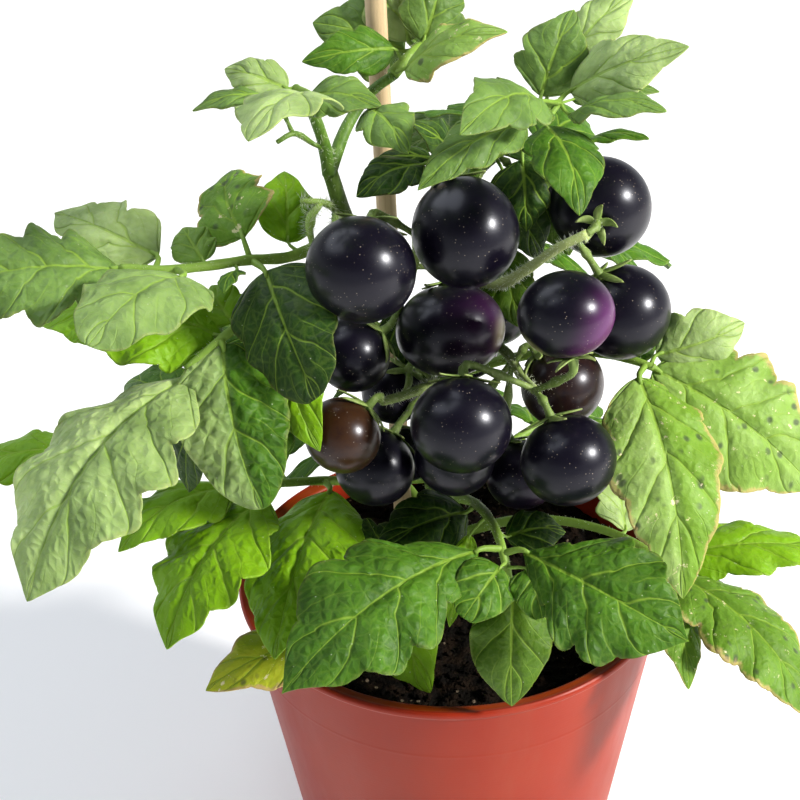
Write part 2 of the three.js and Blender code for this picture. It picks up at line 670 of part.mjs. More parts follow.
addPiece('pot', potSolid(), FINISH.pot);
addPiece('soil', soilSolid(), FINISH.soil);
addPiece('cane', caneSolid(), FINISH.cane);
addPiece('main_stem', stemSolid(), FINISH.stem);

// What grows out of the stem ends at its surface, and keeps clear of the fruits.
const clearOfStemAndFruits = (solid) => largestBody(solid.subtract(stemCutter).subtract(fruitCutters));

for (const [name, frond] of Object.entries(FRONDS)) {
  addPiece(name, clearOfStemAndFruits(frondSolid(frond)), FINISH.leaf);
}
for (const [name, rule] of Object.entries(BACK_FRONDS)) {
  addPiece(name, clearOfStemAndFruits(frondSolid(ruledFrond(rule))), FINISH.leaf);
}
for (const [name, truss] of Object.entries(TRUSSES)) {
  addPiece(name, clearOfStemAndFruits(trussSolid(truss)), FINISH.calyx);
}
for (const [name, fruit] of Object.entries(FRUITS)) addPiece(name, fruitSolid(fruit), FINISH.fruit);

export default plant;
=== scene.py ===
"""Dresses the potted tomato plant: its leaves, stalks, fruits, cane, compost and pot, with their finishes.

Sizes are in millimetres, as in the part's source, until a mesh is made, which is in metres.
"""

from __future__ import annotations

import logging
import math
import random
from dataclasses import dataclass
from enum import Enum
from typing import Callable

import bmesh
import bpy
import numpy as np
from mathutils import Matrix, Vector

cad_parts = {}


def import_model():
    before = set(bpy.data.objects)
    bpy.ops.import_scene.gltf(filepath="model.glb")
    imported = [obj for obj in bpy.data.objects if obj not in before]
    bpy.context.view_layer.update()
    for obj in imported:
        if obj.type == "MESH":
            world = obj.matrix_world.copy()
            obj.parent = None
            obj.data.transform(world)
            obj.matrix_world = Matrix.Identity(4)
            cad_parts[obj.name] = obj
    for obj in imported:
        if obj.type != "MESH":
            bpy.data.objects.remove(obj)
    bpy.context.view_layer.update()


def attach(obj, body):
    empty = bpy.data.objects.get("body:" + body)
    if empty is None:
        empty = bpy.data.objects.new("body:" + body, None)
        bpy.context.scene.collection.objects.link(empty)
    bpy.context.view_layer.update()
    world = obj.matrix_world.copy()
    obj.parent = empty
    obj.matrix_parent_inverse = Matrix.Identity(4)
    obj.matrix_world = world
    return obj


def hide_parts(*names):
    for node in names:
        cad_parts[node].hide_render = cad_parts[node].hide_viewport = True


LOG = logging.getLogger("tomato_plant")
MM = 0.001
ROOT_BODY = "root"
HAIR_RADIUS = 0.055
HAIR_TONE = (2.0, 0.0, 0.0)

Point = tuple[float, float, float]
Colour = tuple[float, float, float]
Bend = Callable[[np.ndarray, np.ndarray], tuple[np.ndarray, dict[str, np.ndarray]]]


# ---------------------------------------------------------------- bending nets into shapes


@dataclass
class Patch:
    """A net of columns by rows that a function bends to its place.

    The function gets each point's place across (-1 to 1) and along (0 to 1) the net, and returns
    places in millimetres and the named details that the finish reads.
    """

    columns: int
    rows: int
    bend: Bend


def in_scene(name: str, data: bpy.types.ID) -> bpy.types.Object:
    """Makes an object of a mesh, a light or a camera, and puts it in the scene.

    Args:
        name: the object's name.
        data: what it shows.

    Returns:
        The object, at the origin.
    """
    item = bpy.data.objects.new(name, data)
    bpy.context.scene.collection.objects.link(item)
    return item


def from_net(name: str, net: bmesh.types.BMesh) -> bpy.types.Object:
    """Turns a finished bmesh into an object of the scene.

    Args:
        name: the object's name.
        net: the bmesh, which is freed.

    Returns:
        The object.
    """
    mesh = bpy.data.meshes.new(name)
    net.to_mesh(mesh)
    net.free()
    return in_scene(name, mesh)


def weave(name: str, patches: list[Patch], weld: bool = True) -> bpy.types.Object:
    """Makes one object of several patches.

    Args:
        name: the piece's name.
        patches: the nets to join.
        weld: whether points that lie on one spot become one, which closes seams and poles.

    Returns:
        The new object, at the origin, with smooth faces.
    """
    net = bmesh.new()
    ends = []
    for patch in patches:
        bmesh.ops.create_grid(net, x_segments=patch.columns, y_segments=patch.rows, size=1.0)
        ends.append(len(net.verts))
    mesh = bpy.data.meshes.new(name)
    net.to_mesh(mesh)
    net.free()
    flat = np.empty(len(mesh.vertices) * 3)
    mesh.vertices.foreach_get("co", flat)
    flat = flat.reshape(-1, 3)
    places = np.zeros_like(flat)
    details: dict[str, np.ndarray] = {}
    start = 0
    for patch, end in zip(patches, ends):
        spots, extra = patch.bend(flat[start:end, 0], (flat[start:end, 1] + 1) / 2)
        places[start:end] = spots * MM
        for key, values in extra.items():
            details.setdefault(key, np.zeros_like(flat))[start:end] = values
        start = end
    mesh.vertices.foreach_set("co", places.ravel())
    for key, values in details.items():
        mesh.attributes.new(key, "FLOAT_VECTOR", "POINT").data.foreach_set("vector", values.ravel())
    if weld:
        net = bmesh.new()
        net.from_mesh(mesh)
        bmesh.ops.remove_doubles(net, verts=net.verts, dist=2e-6)
        net.to_mesh(mesh)
        net.free()
    mesh.polygons.foreach_set("use_smooth", [True] * len(mesh.polygons))
    mesh.update()
    return in_scene(name, mesh)


def thicken(piece: bpy.types.Object, thickness: float, offset: float) -> bpy.types.SolidifyModifier:
    """Gives a thin piece its thickness.

    Args:
        piece: the object.
        thickness: the thickness in millimetres.
        offset: the side that it grows to, from -1 below the surface to 1 above it.

    Returns:
        The modifier.
    """
    shell = piece.modifiers.new("thickness", "SOLIDIFY")
    shell.thickness = thickness * MM
    shell.offset = offset
    return shell


def smooth_path(points: list[Point], count: int) -> np.ndarray:
    """A smooth curve through some points, as evenly spaced places along it.

    Args:
        points: the places that the curve passes.
        count: how many places to return.

    Returns:
        An array of places, in millimetres.
    """
    given = np.array(points, float)
    if len(given) == 2:
        return given[0] + np.linspace(0, 1, count)[:, None] * (given[1] - given[0])
    padded = np.vstack([2 * given[0] - given[1], given, 2 * given[-1] - given[-2]])
    dense = []
    for i in range(len(given) - 1):
        p0, p1, p2, p3 = padded[i : i + 4]
        t1 = max(np.linalg.norm(p1 - p0) ** 0.5, 1e-4)
        t2 = t1 + max(np.linalg.norm(p2 - p1) ** 0.5, 1e-4)
        t3 = t2 + max(np.linalg.norm(p3 - p2) ** 0.5, 1e-4)
        t = np.linspace(t1, t2, 16, endpoint=False)[:, None]
        a1 = p0 + (p1 - p0) * t / t1
        a2 = p1 + (p2 - p1) * (t - t1) / (t2 - t1)
        a3 = p2 + (p3 - p2) * (t - t2) / (t3 - t2)
        b1 = a1 + (a2 - a1) * t / t2
        b2 = a2 + (a3 - a2) * (t - t1) / (t3 - t1)
        dense.append(b1 + (b2 - b1) * (t - t1) / (t2 - t1))
    dense.append(given[-1:])
    line = np.vstack(dense)
    run = np.concatenate([[0], np.cumsum(np.linalg.norm(np.diff(line, axis=0), axis=1))])
    wanted = np.linspace(0, run[-1], count)
    return np.stack([np.interp(wanted, run, line[:, k]) for k in range(3)], axis=1)


def unit(vector: np.ndarray) -> np.ndarray:
    """The vector, or each row of an array of them, at length one."""
    return vector / np.maximum(np.linalg.norm(vector, axis=-1, keepdims=True), 1e-9)


def frames_along(line: np.ndarray) -> tuple[np.ndarray, np.ndarray]:
    """Two directions square to a line at each of its places, turning as little as they can.

    Args:
        line: places along the line.

    Returns:
        The two directions, one row for each place.
    """
    tangents = unit(np.gradient(line, axis=0))
    first = np.cross(tangents[0], (0.0, 0.0, 1.0) if abs(tangents[0][2]) < 0.9 else (1.0, 0.0, 0.0))
    normals = [unit(first)]
    for tangent in tangents[1:]:
        normals.append(unit(normals[-1] - tangent * np.dot(normals[-1], tangent)))
    side = np.array(normals)
    return side, np.cross(tangents, side)


def tube(points: list[Point], radii: tuple[float, ...], columns: int = 14, rows: int = 0,
         rough: float = 0.03, seed: int = 0, detail: Point = (0.0, 0.0, 0.0)) -> Patch:
    """A round stalk along a smooth curve, closed at both ends.

    Args:
        points: the curve's points.
        radii: the stalk's radius, at even steps from its start to its end.
        columns: faces around it.
        rows: faces along it, or 0 for about one in every 1.5 mm.
        rough: how uneven it is, as a share of its radius.
        seed: picks the unevenness.
        detail: the stalk's paleness, warmth and age, which its finish reads.

    Returns:
        The patch.
    """
    span = sum(math.dist(a, b) for a, b in zip(points, points[1:]))
    rows = rows or max(4, int(span / 1.5))
    line = smooth_path(points, rows + 1)
    line = np.vstack([line[:1], line, line[-1:]])
    side, other = frames_along(smooth_path(points, rows + 1))
    side, other = (np.vstack([a[:1], a, a[-1:]]) for a in (side, other))
    size = np.interp(np.linspace(0, 1, rows + 1), np.linspace(0, 1, len(radii)), radii)
    size = np.concatenate([[0], size, [0]])

    def bend(across: np.ndarray, along: np.ndarray) -> tuple[np.ndarray, dict[str, np.ndarray]]:
        """Wraps the net round the curve.

        Args:
            across: each point's place across the net, -1 to 1.
            along: its place along the net, 0 to 1.

        Returns:
            The points' places in millimetres, and their details.
        """
        step = np.rint(along * (rows + 2)).astype(int)
        turn = across * math.pi
        knots = np.sin(step * 0.9 + seed) * np.sin(2 * turn + seed)
        wave = knots + 0.6 * np.sin(step * 0.37 + 3 * turn + 2 * seed)
        reach = size[step] * (1 + rough * wave)
        out = (np.cos(turn) * reach)[:, None] * side[step] + (np.sin(turn) * reach)[:, None] * other[step]
        return line[step] + out, {"stalk_tone": np.tile(detail, (len(across), 1))}

    return Patch(columns, rows + 2, bend)


def hairs(points: list[Point], radii: tuple[float, ...], per_mm: float, length: float,
          seed: int) -> list[Patch]:
    """Fine short hairs that stand out from a stalk.

    Args:
        points: the stalk's curve.
        radii: the stalk's radius, at even steps.
        per_mm: hairs on each millimetre of stalk.
        length: the longest hair.
        seed: picks their places.

    Returns:
        One small patch for each hair.
    """
    chance = random.Random(seed)
    span = sum(math.dist(a, b) for a, b in zip(points, points[1:]))
    line = smooth_path(points, max(4, int(span)))
    side, other = frames_along(line)
    size = np.interp(np.linspace(0, 1, len(line)), np.linspace(0, 1, len(radii)), radii)
    patches = []
    for _ in range(int(span * per_mm)):
        spot = chance.randrange(1, len(line) - 1)
        turn = chance.uniform(-math.pi, math.pi)
        out = math.cos(turn) * side[spot] + math.sin(turn) * other[spot]
        lean = unit(out + 0.35 * np.array([chance.uniform(-1, 1) for _ in range(3)]))
        place = line[spot] + chance.random() * (line[spot + 1] - line[spot])
        foot = place + out * size[spot] * 0.85
        reach = length * chance.uniform(0.5, 1.0) + 0.15 * size[spot]
        patches.append(hair(foot, foot + lean * reach))
    return patches


def hair(foot: np.ndarray, tip: np.ndarray) -> Patch:
    """One three-sided spike from its foot to its tip.

    Args:
        foot: where it starts.
        tip: where it ends.

    Returns:
        The patch.
    """
    way = unit(tip - foot)
    side = unit(np.cross(way, (0.31, 0.57, 0.76)))
    other = np.cross(way, side)

    def bend(across: np.ndarray, along: np.ndarray) -> tuple[np.ndarray, dict[str, np.ndarray]]:
        """Draws the net out to a spike: its first and last rows are points.

        Args:
            across: each point's place across the net, -1 to 1.
            along: its place along the net, 0 to 1.

        Returns:
            The points' places in millimetres, and their details.
        """
        reach = np.where(np.abs(along - 0.5) < 0.25, HAIR_RADIUS, 0.0)
        turn = across * math.pi
        centre = foot + np.where(along > 0.75, 1.0, 0.0)[:, None] * (tip - foot)
        spots = centre + (np.cos(turn) * reach)[:, None] * side + (np.sin(turn) * reach)[:, None] * other
        return spots, {"stalk_tone": np.tile(HAIR_TONE, (len(across), 1))}

    return Patch(3, 2, bend)


def nearest_on(points: list[Point], target: np.ndarray) -> np.ndarray:
    """The place on a stalk's curve that lies nearest to a target."""
    line = smooth_path(points, 120)
    return line[np.argmin(np.linalg.norm(line - target, axis=1))]


# ---------------------------------------------------------------- finishes


class Nodes:
    """Adds and joins the nodes of one material or node group."""

    def __init__(self, tree: bpy.types.NodeTree) -> None:
        """Keeps the tree that the nodes go into."""
        self.tree = tree

    def add(self, kind: str, **settings: object) -> bpy.types.Node:
        """Adds a node and sets its named properties.

        Args:
            kind: the node's type.
            settings: its properties and their values.

        Returns:
            The node.
        """
        node = self.tree.nodes.new(kind)
        for key, value in settings.items():
            setattr(node, key, value)
        return node

    def feed(self, socket: bpy.types.NodeSocket, value: object) -> None:
        """Links an output to a socket, or sets the socket to a plain value.

        Args:
            socket: the socket to feed.
            value: an output, a number, a text or a colour.
        """
        if isinstance(value, bpy.types.NodeSocket):
            self.tree.links.new(value, socket)
        elif isinstance(value, tuple) and len(value) == 3 and socket.type == "RGBA":
            socket.default_value = (*value, 1.0)
        else:
            socket.default_value = value

    def math(self, operation: str, a: object, b: object = 0.0, c: object = 0.0) -> bpy.types.NodeSocket:
        """Works a number out with a Math node.

        Args:
            operation: the node's operation.
            a: its first value.
            b: its second value.
            c: its third value.

        Returns:
            The result.
        """
        node = self.add("ShaderNodeMath", operation=operation)
        for socket, value in zip(node.inputs, (a, b, c)):
            self.feed(socket, value)
        return node.outputs[0]

    def mix(self, share: object, a: object, b: object, blend: str = "MIX") -> bpy.types.NodeSocket:
        """Mixes two colours.

        Args:
            share: how much of the second colour there is.
            a: the first colour.
            b: the second colour.
            blend: the way of mixing.

        Returns:
            The mixed colour.
        """
        node = self.add("ShaderNodeMix", data_type="RGBA", blend_type=blend)
        self.feed(node.inputs[0], share)
        self.feed(node.inputs[6], a)
        self.feed(node.inputs[7], b)
        return node.outputs[2]

    def band(self, value: object, low: float, high: float, first: float = 0.0,
             last: float = 1.0) -> bpy.types.NodeSocket:
        """Carries a value smoothly from one range to another, and holds it at the ends.

        Args:
            value: the value.
            low: where the first range starts.
            high: where it ends.
            first: the result at its start.
            last: the result at its end.

        Returns:
            The result.
        """
        node = self.add("ShaderNodeMapRange", interpolation_type="SMOOTHSTEP")
        for socket, item in zip(node.inputs, (value, low, high, first, last)):
            self.feed(socket, item)
        return node.outputs[0]

    def split(self, vector: bpy.types.NodeSocket) -> list[bpy.types.NodeSocket]:
        """Parts a vector.

        Args:
            vector: the vector.

        Returns:
            Its three numbers.
        """
        node = self.add("ShaderNodeSeparateXYZ")
        self.feed(node.inputs[0], vector)
        return list(node.outputs)

    def detail(self, name: str) -> bpy.types.NodeSocket:
        """A named detail that the mesh carries, as a vector."""
        return self.add("ShaderNodeAttribute", attribute_name=name).outputs["Vector"]

    def noise(self, vector: object, scale: float, detail: float = 3.0,
              rough: float = 0.55) -> bpy.types.NodeSocket:
        """Adds a noise pattern.

        Args:
            vector: the place to read it at.
            scale: its scale.
            detail: how many finer layers it has.
            rough: how strong they are.

        Returns:
            Its value.
        """
        node = self.add("ShaderNodeTexNoise")
        self.feed(node.inputs["Vector"], vector)
        node.inputs["Scale"].default_value = scale
        node.inputs["Detail"].default_value = detail
        node.inputs["Roughness"].default_value = rough
        return node.outputs[0]

    def cells(self, vector: object, scale: object, feature: str = "F1") -> bpy.types.NodeSocket:
        """Adds a cell pattern.

        Args:
            vector: the place to read it at.
            scale: its scale.
            feature: which distance is measured.

        Returns:
            The distance.
        """
        node = self.add("ShaderNodeTexVoronoi", feature=feature)
        self.feed(node.inputs["Vector"], vector)
        self.feed(node.inputs["Scale"], scale)
        return node.outputs["Distance"]

    def bump(self, height: object, distance: float, strength: float = 1.0) -> bpy.types.NodeSocket:
        """Turns a height into relief.

        Args:
            height: the height to read.
            distance: how high it stands, in metres.
            strength: the share of it that shows.

        Returns:
            The bumped normal.
        """
        node = self.add("ShaderNodeBump")
        node.inputs["Strength"].default_value = strength
        node.inputs["Distance"].default_value = distance
        self.feed(node.inputs["Height"], height)
        return node.outputs[0]

    def place(self) -> bpy.types.NodeSocket:
        """Object coordinates."""
        return self.add("ShaderNodeTexCoord").outputs["Object"]


def new_group(name: str, inputs: dict[str, float],
              outputs: dict[str, str]) -> tuple[Nodes, bpy.types.Node, bpy.types.Node]:
    """Starts a shader node group.

    Args:
        name: the group's name.
        inputs: each input number's name and its usual value.
        outputs: each output's name and socket type.

    Returns:
        The group's nodes, its input node and its output node.
    """
    tree = bpy.data.node_groups.new(name, "ShaderNodeTree")
    for label, value in inputs.items():
        tree.interface.new_socket(label, in_out="INPUT", socket_type="NodeSocketFloat").default_value = value
    for label, kind in outputs.items():
        tree.interface.new_socket(label, in_out="OUTPUT", socket_type=kind)
    nodes = Nodes(tree)
    return nodes, nodes.add("NodeGroupInput"), nodes.add("NodeGroupOutput")


def relief_group() -> bpy.types.NodeTree:
    """The veins of a leaf: the ribs, the fine net between them and the height of both.

    Returns:
        The group.
    """
    nodes, given, result = new_group(
        "leaf_relief",
        {"Rib Width": 0.42, "Net Size": 3.1, "Quilt": 1.0},
        {"Ribs": "NodeSocketFloat", "Net": "NodeSocketFloat", "Height": "NodeSocketFloat"},
    )
    edge, phase, share = nodes.split(nodes.detail("leaf_place"))
    midrib, pitch, quilted = nodes.split(nodes.detail("leaf_size"))
    net_place = nodes.detail("leaf_net")
    width = given.outputs["Rib Width"]

    wobble = nodes.math("MULTIPLY", nodes.math("SUBTRACT", nodes.noise(net_place, 0.12, 1.0), 0.5), 0.22)
    bent = nodes.math("ADD", phase, wobble)
    to_rib = nodes.math("PINGPONG", bent, 0.5)
    spacing = nodes.math("MULTIPLY", pitch, 0.62)
    rib_gap = nodes.math("MULTIPLY", to_rib, spacing)
    rib_width = nodes.math("MULTIPLY", width, nodes.band(edge, 0.2, 1.0, 1.0, 0.45))
    rib = nodes.math("SUBTRACT", 1.0, nodes.band(nodes.math("DIVIDE", rib_gap, rib_width), 0.15, 1.0))
    half_gap = nodes.math("MULTIPLY", nodes.math("SUBTRACT", 0.5, to_rib), spacing)
    minor = nodes.math("SUBTRACT", 1.0, nodes.band(nodes.math("DIVIDE", half_gap, rib_width), 0.1, 0.8))
    minor = nodes.math("MULTIPLY", minor, nodes.band(edge, 0.25, 0.5, 0.0, 0.45))
    middle_width = nodes.math("MULTIPLY", width, nodes.band(share, 0.0, 1.0, 1.9, 0.5))
    middle = nodes.math("SUBTRACT", 1.0, nodes.band(nodes.math("DIVIDE", midrib, middle_width), 0.3, 1.0))
    ribs = nodes.math("MAXIMUM", nodes.math("MAXIMUM", rib, minor), middle)

    scaled = nodes.add("ShaderNodeVectorMath", operation="SCALE")
    nodes.feed(scaled.inputs[0], net_place)
    nodes.feed(scaled.inputs["Scale"], nodes.math("DIVIDE", 1.0, given.outputs["Net Size"]))
    bend = nodes.add("ShaderNodeTexNoise")
    nodes.feed(bend.inputs["Vector"], scaled.outputs[0])
    bend.inputs["Scale"].default_value = 0.8
    shifted = nodes.add("ShaderNodeVectorMath", operation="MULTIPLY_ADD")
    nodes.feed(shifted.inputs[0], bend.outputs["Color"])
    shifted.inputs[1].default_value = (0.5, 0.5, 0.0)
    nodes.feed(shifted.inputs[2], scaled.outputs[0])
    net_gap = nodes.cells(shifted.outputs[0], 1.0, "DISTANCE_TO_EDGE")
    net = nodes.math("SUBTRACT", 1.0, nodes.band(net_gap, 0.01, 0.11))
    dome = nodes.band(net_gap, 0.0, 0.5)

    between = nodes.band(nodes.math("DIVIDE", rib_gap, rib_width), 0.2, 3.0)
    soft = nodes.noise(net_place, 0.8, 3.0)
    quilt = nodes.math("MULTIPLY", quilted, given.outputs["Quilt"])
    height = nodes.math("MULTIPLY", dome, nodes.math("MULTIPLY", between, quilt))
    height = nodes.math("MULTIPLY_ADD", soft, nodes.math("MULTIPLY_ADD", quilt, -0.3, 0.55), height)
    height = nodes.math("MULTIPLY_ADD", between, 0.35, height)
    height = nodes.math("MULTIPLY_ADD", ribs, -0.35, height)
    for label, value in (("Ribs", ribs), ("Net", net), ("Height", height)):
        nodes.feed(result.inputs[label], value)
    return nodes.tree


def markings_group() -> bpy.types.NodeTree:
    """What time leaves on a leaf: patches, fine mottling, pale specks, dark spots, scuffs and a dry rim.

    Returns:
        The group.
    """
    nodes, given, result = new_group(
        "leaf_markings",
        {"Speck Scale": 0.5, "Spot Scale": 0.24},
        {label: "NodeSocketFloat" for label in ("Patches", "Mottle", "Specks", "Spots", "Scuffs", "Rim")},
    )
    net = nodes.detail("leaf_net")
    edge, _, _ = nodes.split(nodes.detail("leaf_place"))
    _, _, wear = nodes.split(nodes.detail("leaf_tone"))
    from_speck = nodes.cells(net, given.outputs["Speck Scale"])
    specks = nodes.math("SUBTRACT", 1.0, nodes.band(from_speck, 0.05, 0.11))
    specks = nodes.math("MULTIPLY", specks, nodes.band(nodes.noise(net, 0.2, 1.0), 0.5, 0.58, 0.0, 0.5))
    from_spot = nodes.cells(net, given.outputs["Spot Scale"])
    spots = nodes.math("SUBTRACT", 1.0, nodes.band(from_spot, 0.14, 0.34))
    chosen = nodes.band(nodes.noise(net, 0.08, 1.0), 0.44, 0.54)
    spots = nodes.math("MULTIPLY", nodes.math("MULTIPLY", spots, chosen), nodes.band(wear, 0.2, 0.6))
    scuffs = nodes.band(nodes.noise(net, 0.33, 4.0, 0.75), 0.62, 0.67)
    scuffs = nodes.math("MULTIPLY", scuffs, nodes.band(wear, 0.2, 0.8, 0.0, 0.9))
    ragged = nodes.math("MULTIPLY_ADD", nodes.noise(net, 0.4, 3.0, 0.7), 0.3, edge)
    rim = nodes.band(nodes.math("MULTIPLY_ADD", wear, 0.08, ragged), 1.08, 1.17)
    rim = nodes.math("MULTIPLY", rim, nodes.band(wear, 0.1, 0.9, 0.08, 0.9))
    nodes.feed(result.inputs["Patches"], nodes.band(nodes.noise(net, 0.09, 3.0), 0.3, 0.7))
    nodes.feed(result.inputs["Mottle"], nodes.noise(net, 1.3, 4.0, 0.7))
    for label, value in (("Specks", specks), ("Spots", spots), ("Scuffs", scuffs), ("Rim", rim)):
        nodes.feed(result.inputs[label], value)
    return nodes.tree


def streaks_group() -> bpy.types.NodeTree:
    """Lines that run up a piece: a noise in Object coordinates with one scale across and one along Z.

    Returns:
        The group.
    """
    nodes, given, result = new_group(
        "streaks",
        {"Across": 900.0, "Along": 90.0, "Roughness": 0.55},
        {"Streaks": "NodeSocketFloat"},
    )
    scale = nodes.add("ShaderNodeCombineXYZ")
    for socket, label in zip(scale.inputs, ("Across", "Across", "Along")):
        nodes.feed(socket, given.outputs[label])
    drawn = nodes.add("ShaderNodeVectorMath", operation="MULTIPLY")
    nodes.feed(drawn.inputs[0], nodes.place())
    nodes.feed(drawn.inputs[1], scale.outputs[0])
    noise = nodes.add("ShaderNodeTexNoise")
    noise.inputs["Scale"].default_value = 1.0
    noise.inputs["Detail"].default_value = 4.0
    nodes.feed(noise.inputs["Vector"], drawn.outputs[0])
    nodes.feed(noise.inputs["Roughness"], given.outputs["Roughness"])
    nodes.feed(result.inputs["Streaks"], noise.outputs[0])
    return nodes.tree


def streaked(nodes: Nodes, across: float, along: float, rough: float = 0.55) -> bpy.types.NodeSocket:
    """Places the streaks group in a material.

    Args:
        nodes: the material's nodes.
        across: the noise's scale across the piece.
        along: its scale up the piece.
        rough: its roughness.

    Returns:
        The lines' strength.
    """
    group = nodes.add("ShaderNodeGroup", node_tree=bpy.data.node_groups.get("streaks") or streaks_group())
    group.inputs["Across"].default_value = across
    group.inputs["Along"].default_value = along
    group.inputs["Roughness"].default_value = rough
    return group.outputs["Streaks"]


def grain_group() -> bpy.types.NodeTree:
    """Fine unevenness for any finish: a coarse and a fine noise in Object coordinates.

    Returns:
        The group.
    """
    nodes, given, result = new_group(
        "grain",
        {"Coarse": 60.0, "Fine": 900.0},
        {"Coarse": "NodeSocketFloat", "Fine": "NodeSocketFloat"},
    )
    place = nodes.place()
    for label, detail in (("Coarse", 4.0), ("Fine", 2.0)):
        node = nodes.add("ShaderNodeTexNoise")
        nodes.feed(node.inputs["Vector"], place)
        nodes.feed(node.inputs["Scale"], given.outputs[label])
        node.inputs["Detail"].default_value = detail
        nodes.feed(result.inputs[label], node.outputs[0])
    return nodes.tree


def grained(nodes: Nodes, coarse: float, fine: float) -> tuple[bpy.types.NodeSocket, bpy.types.NodeSocket]:
    """Places the grain group in a material.

    Args:
        nodes: the material's nodes.
        coarse: the coarse noise's scale.
        fine: the fine noise's scale.

    Returns:
        The coarse and the fine noise.
    """
    group = nodes.add("ShaderNodeGroup", node_tree=bpy.data.node_groups.get("grain") or grain_group())
    group.inputs["Coarse"].default_value = coarse
    group.inputs["Fine"].default_value = fine
    return group.outputs["Coarse"], group.outputs["Fine"]


def start_material(name: str) -> tuple[bpy.types.Material, Nodes, bpy.types.Node]:
    """Starts a material.

    Args:
        name: the material's name.

    Returns:
        The material, its nodes and its shader.
    """
    material = bpy.data.materials.new(name)
    material.use_nodes = True
    return material, Nodes(material.node_tree), material.node_tree.nodes["Principled BSDF"]


def let_light_in(shader: bpy.types.Node, share: float, reach: Colour, scale: float) -> None:
    """Lets light wander below a finish's surface.

    Args:
        shader: the finish's shader.
        share: how much of the light does.
        reach: how far each of its colours goes, as a share of the scale.
        scale: the farthest that it goes, in metres.
    """
    shader.inputs["Subsurface Weight"].default_value = share
    shader.inputs["Subsurface Radius"].default_value = reach
    shader.inputs["Subsurface Scale"].default_value = scale


@dataclass(frozen=True)
class LeafFinish:
    """A leaf's upper or lower face: green between paler ribs, quilted, with a soft sheen, with painted shade
    on leaflets in shadow and a painted sheen on pale ones.
    """

    name: str
    # Painted shade: the next colour is what the leaflets that lie in shadow are darkened toward.
    shade: Colour = (0.004, 0.020, 0.001)
    deep: Colour = (0.016, 0.062, 0.001)
    green: Colour = (0.044, 0.135, 0.001)
    # The pale colour is partly the leaf's own paler green and partly a painted sheen of light.
    pale: Colour = (0.340, 0.440, 0.175)
    fresh: Colour = (0.140, 0.290, 0.001)
    yellow: Colour = (0.420, 0.400, 0.020)
    rib: Colour = (0.190, 0.300, 0.030)
    dry: Colour = (0.66, 0.57, 0.38)
    parched: Colour = (0.40, 0.28, 0.12)
    spot: Colour = (0.030, 0.036, 0.028)
    speck: Colour = (0.45, 0.47, 0.38)
    rough: float = 0.50
    quilt: float = 1.0
    relief: float = 0.00055
    underside: bool = False

    def make(self) -> bpy.types.Material:
        """Builds the material.

        Returns:
            The material.
        """
        groups = bpy.data.node_groups
        material, nodes, shader = start_material(self.name)
        relief = nodes.add("ShaderNodeGroup", node_tree=groups.get("leaf_relief") or relief_group())
        relief.inputs["Quilt"].default_value = self.quilt
        marked = nodes.add("ShaderNodeGroup", node_tree=groups.get("leaf_markings") or markings_group())
        marks = marked.outputs
        paleness, freshness, wear = nodes.split(nodes.detail("leaf_tone"))

        colour = nodes.mix(nodes.math("MULTIPLY", marks["Patches"], 0.75), self.deep, self.green)
        # Painted shade: a paleness below zero darkens the leaflets that lie in shadow.
        colour = nodes.mix(nodes.band(paleness, -1.0, 0.0, 1.0, 0.0), colour, self.shade)
        colour = nodes.mix(nodes.band(freshness, 0.0, 1.0), colour, self.fresh)
        # Painted sheen: a paleness above zero, partly real, lightens the leaflet toward the pale colour.
        painted_sheen = nodes.math("MULTIPLY", paleness, nodes.band(marks["Patches"], 0.0, 1.0, 0.55, 1.0))
        colour = nodes.mix(painted_sheen, colour, self.pale)
        colour = nodes.mix(nodes.band(wear, 0.65, 0.95, 0.0, 0.75), colour, self.yellow)
        colour = nodes.mix(nodes.band(marks["Mottle"], 0.3, 0.8, 0.0, 0.06), colour, self.pale)
        colour = nodes.mix(nodes.math("MULTIPLY", relief.outputs["Net"], 0.10), colour, self.rib)
        colour = nodes.mix(nodes.math("MULTIPLY", relief.outputs["Ribs"], 0.60), colour, self.rib)
        colour = nodes.mix(marks["Specks"], colour, self.speck)
        colour = nodes.mix(nodes.math("MULTIPLY", marks["Spots"], 0.75), colour, self.spot)
        colour = nodes.mix(marks["Scuffs"], colour, self.dry)
        colour = nodes.mix(marks["Rim"], colour, self.parched)

        nodes.feed(shader.inputs["Base Color"], colour)
        rough = nodes.band(marks["Mottle"], 0.2, 0.8, self.rough - 0.07, self.rough + 0.1)
        nodes.feed(shader.inputs["Roughness"], rough)
        let_light_in(shader, 0.28, (0.9, 1.3, 0.25), 0.0009)
        shader.inputs["Specular IOR Level"].default_value = 0.14
        height = nodes.math("MULTIPLY", relief.outputs["Height"], -1.0 if self.underside else 1.0)
        nodes.feed(shader.inputs["Normal"], nodes.bump(height, self.relief, 0.9))
        return material


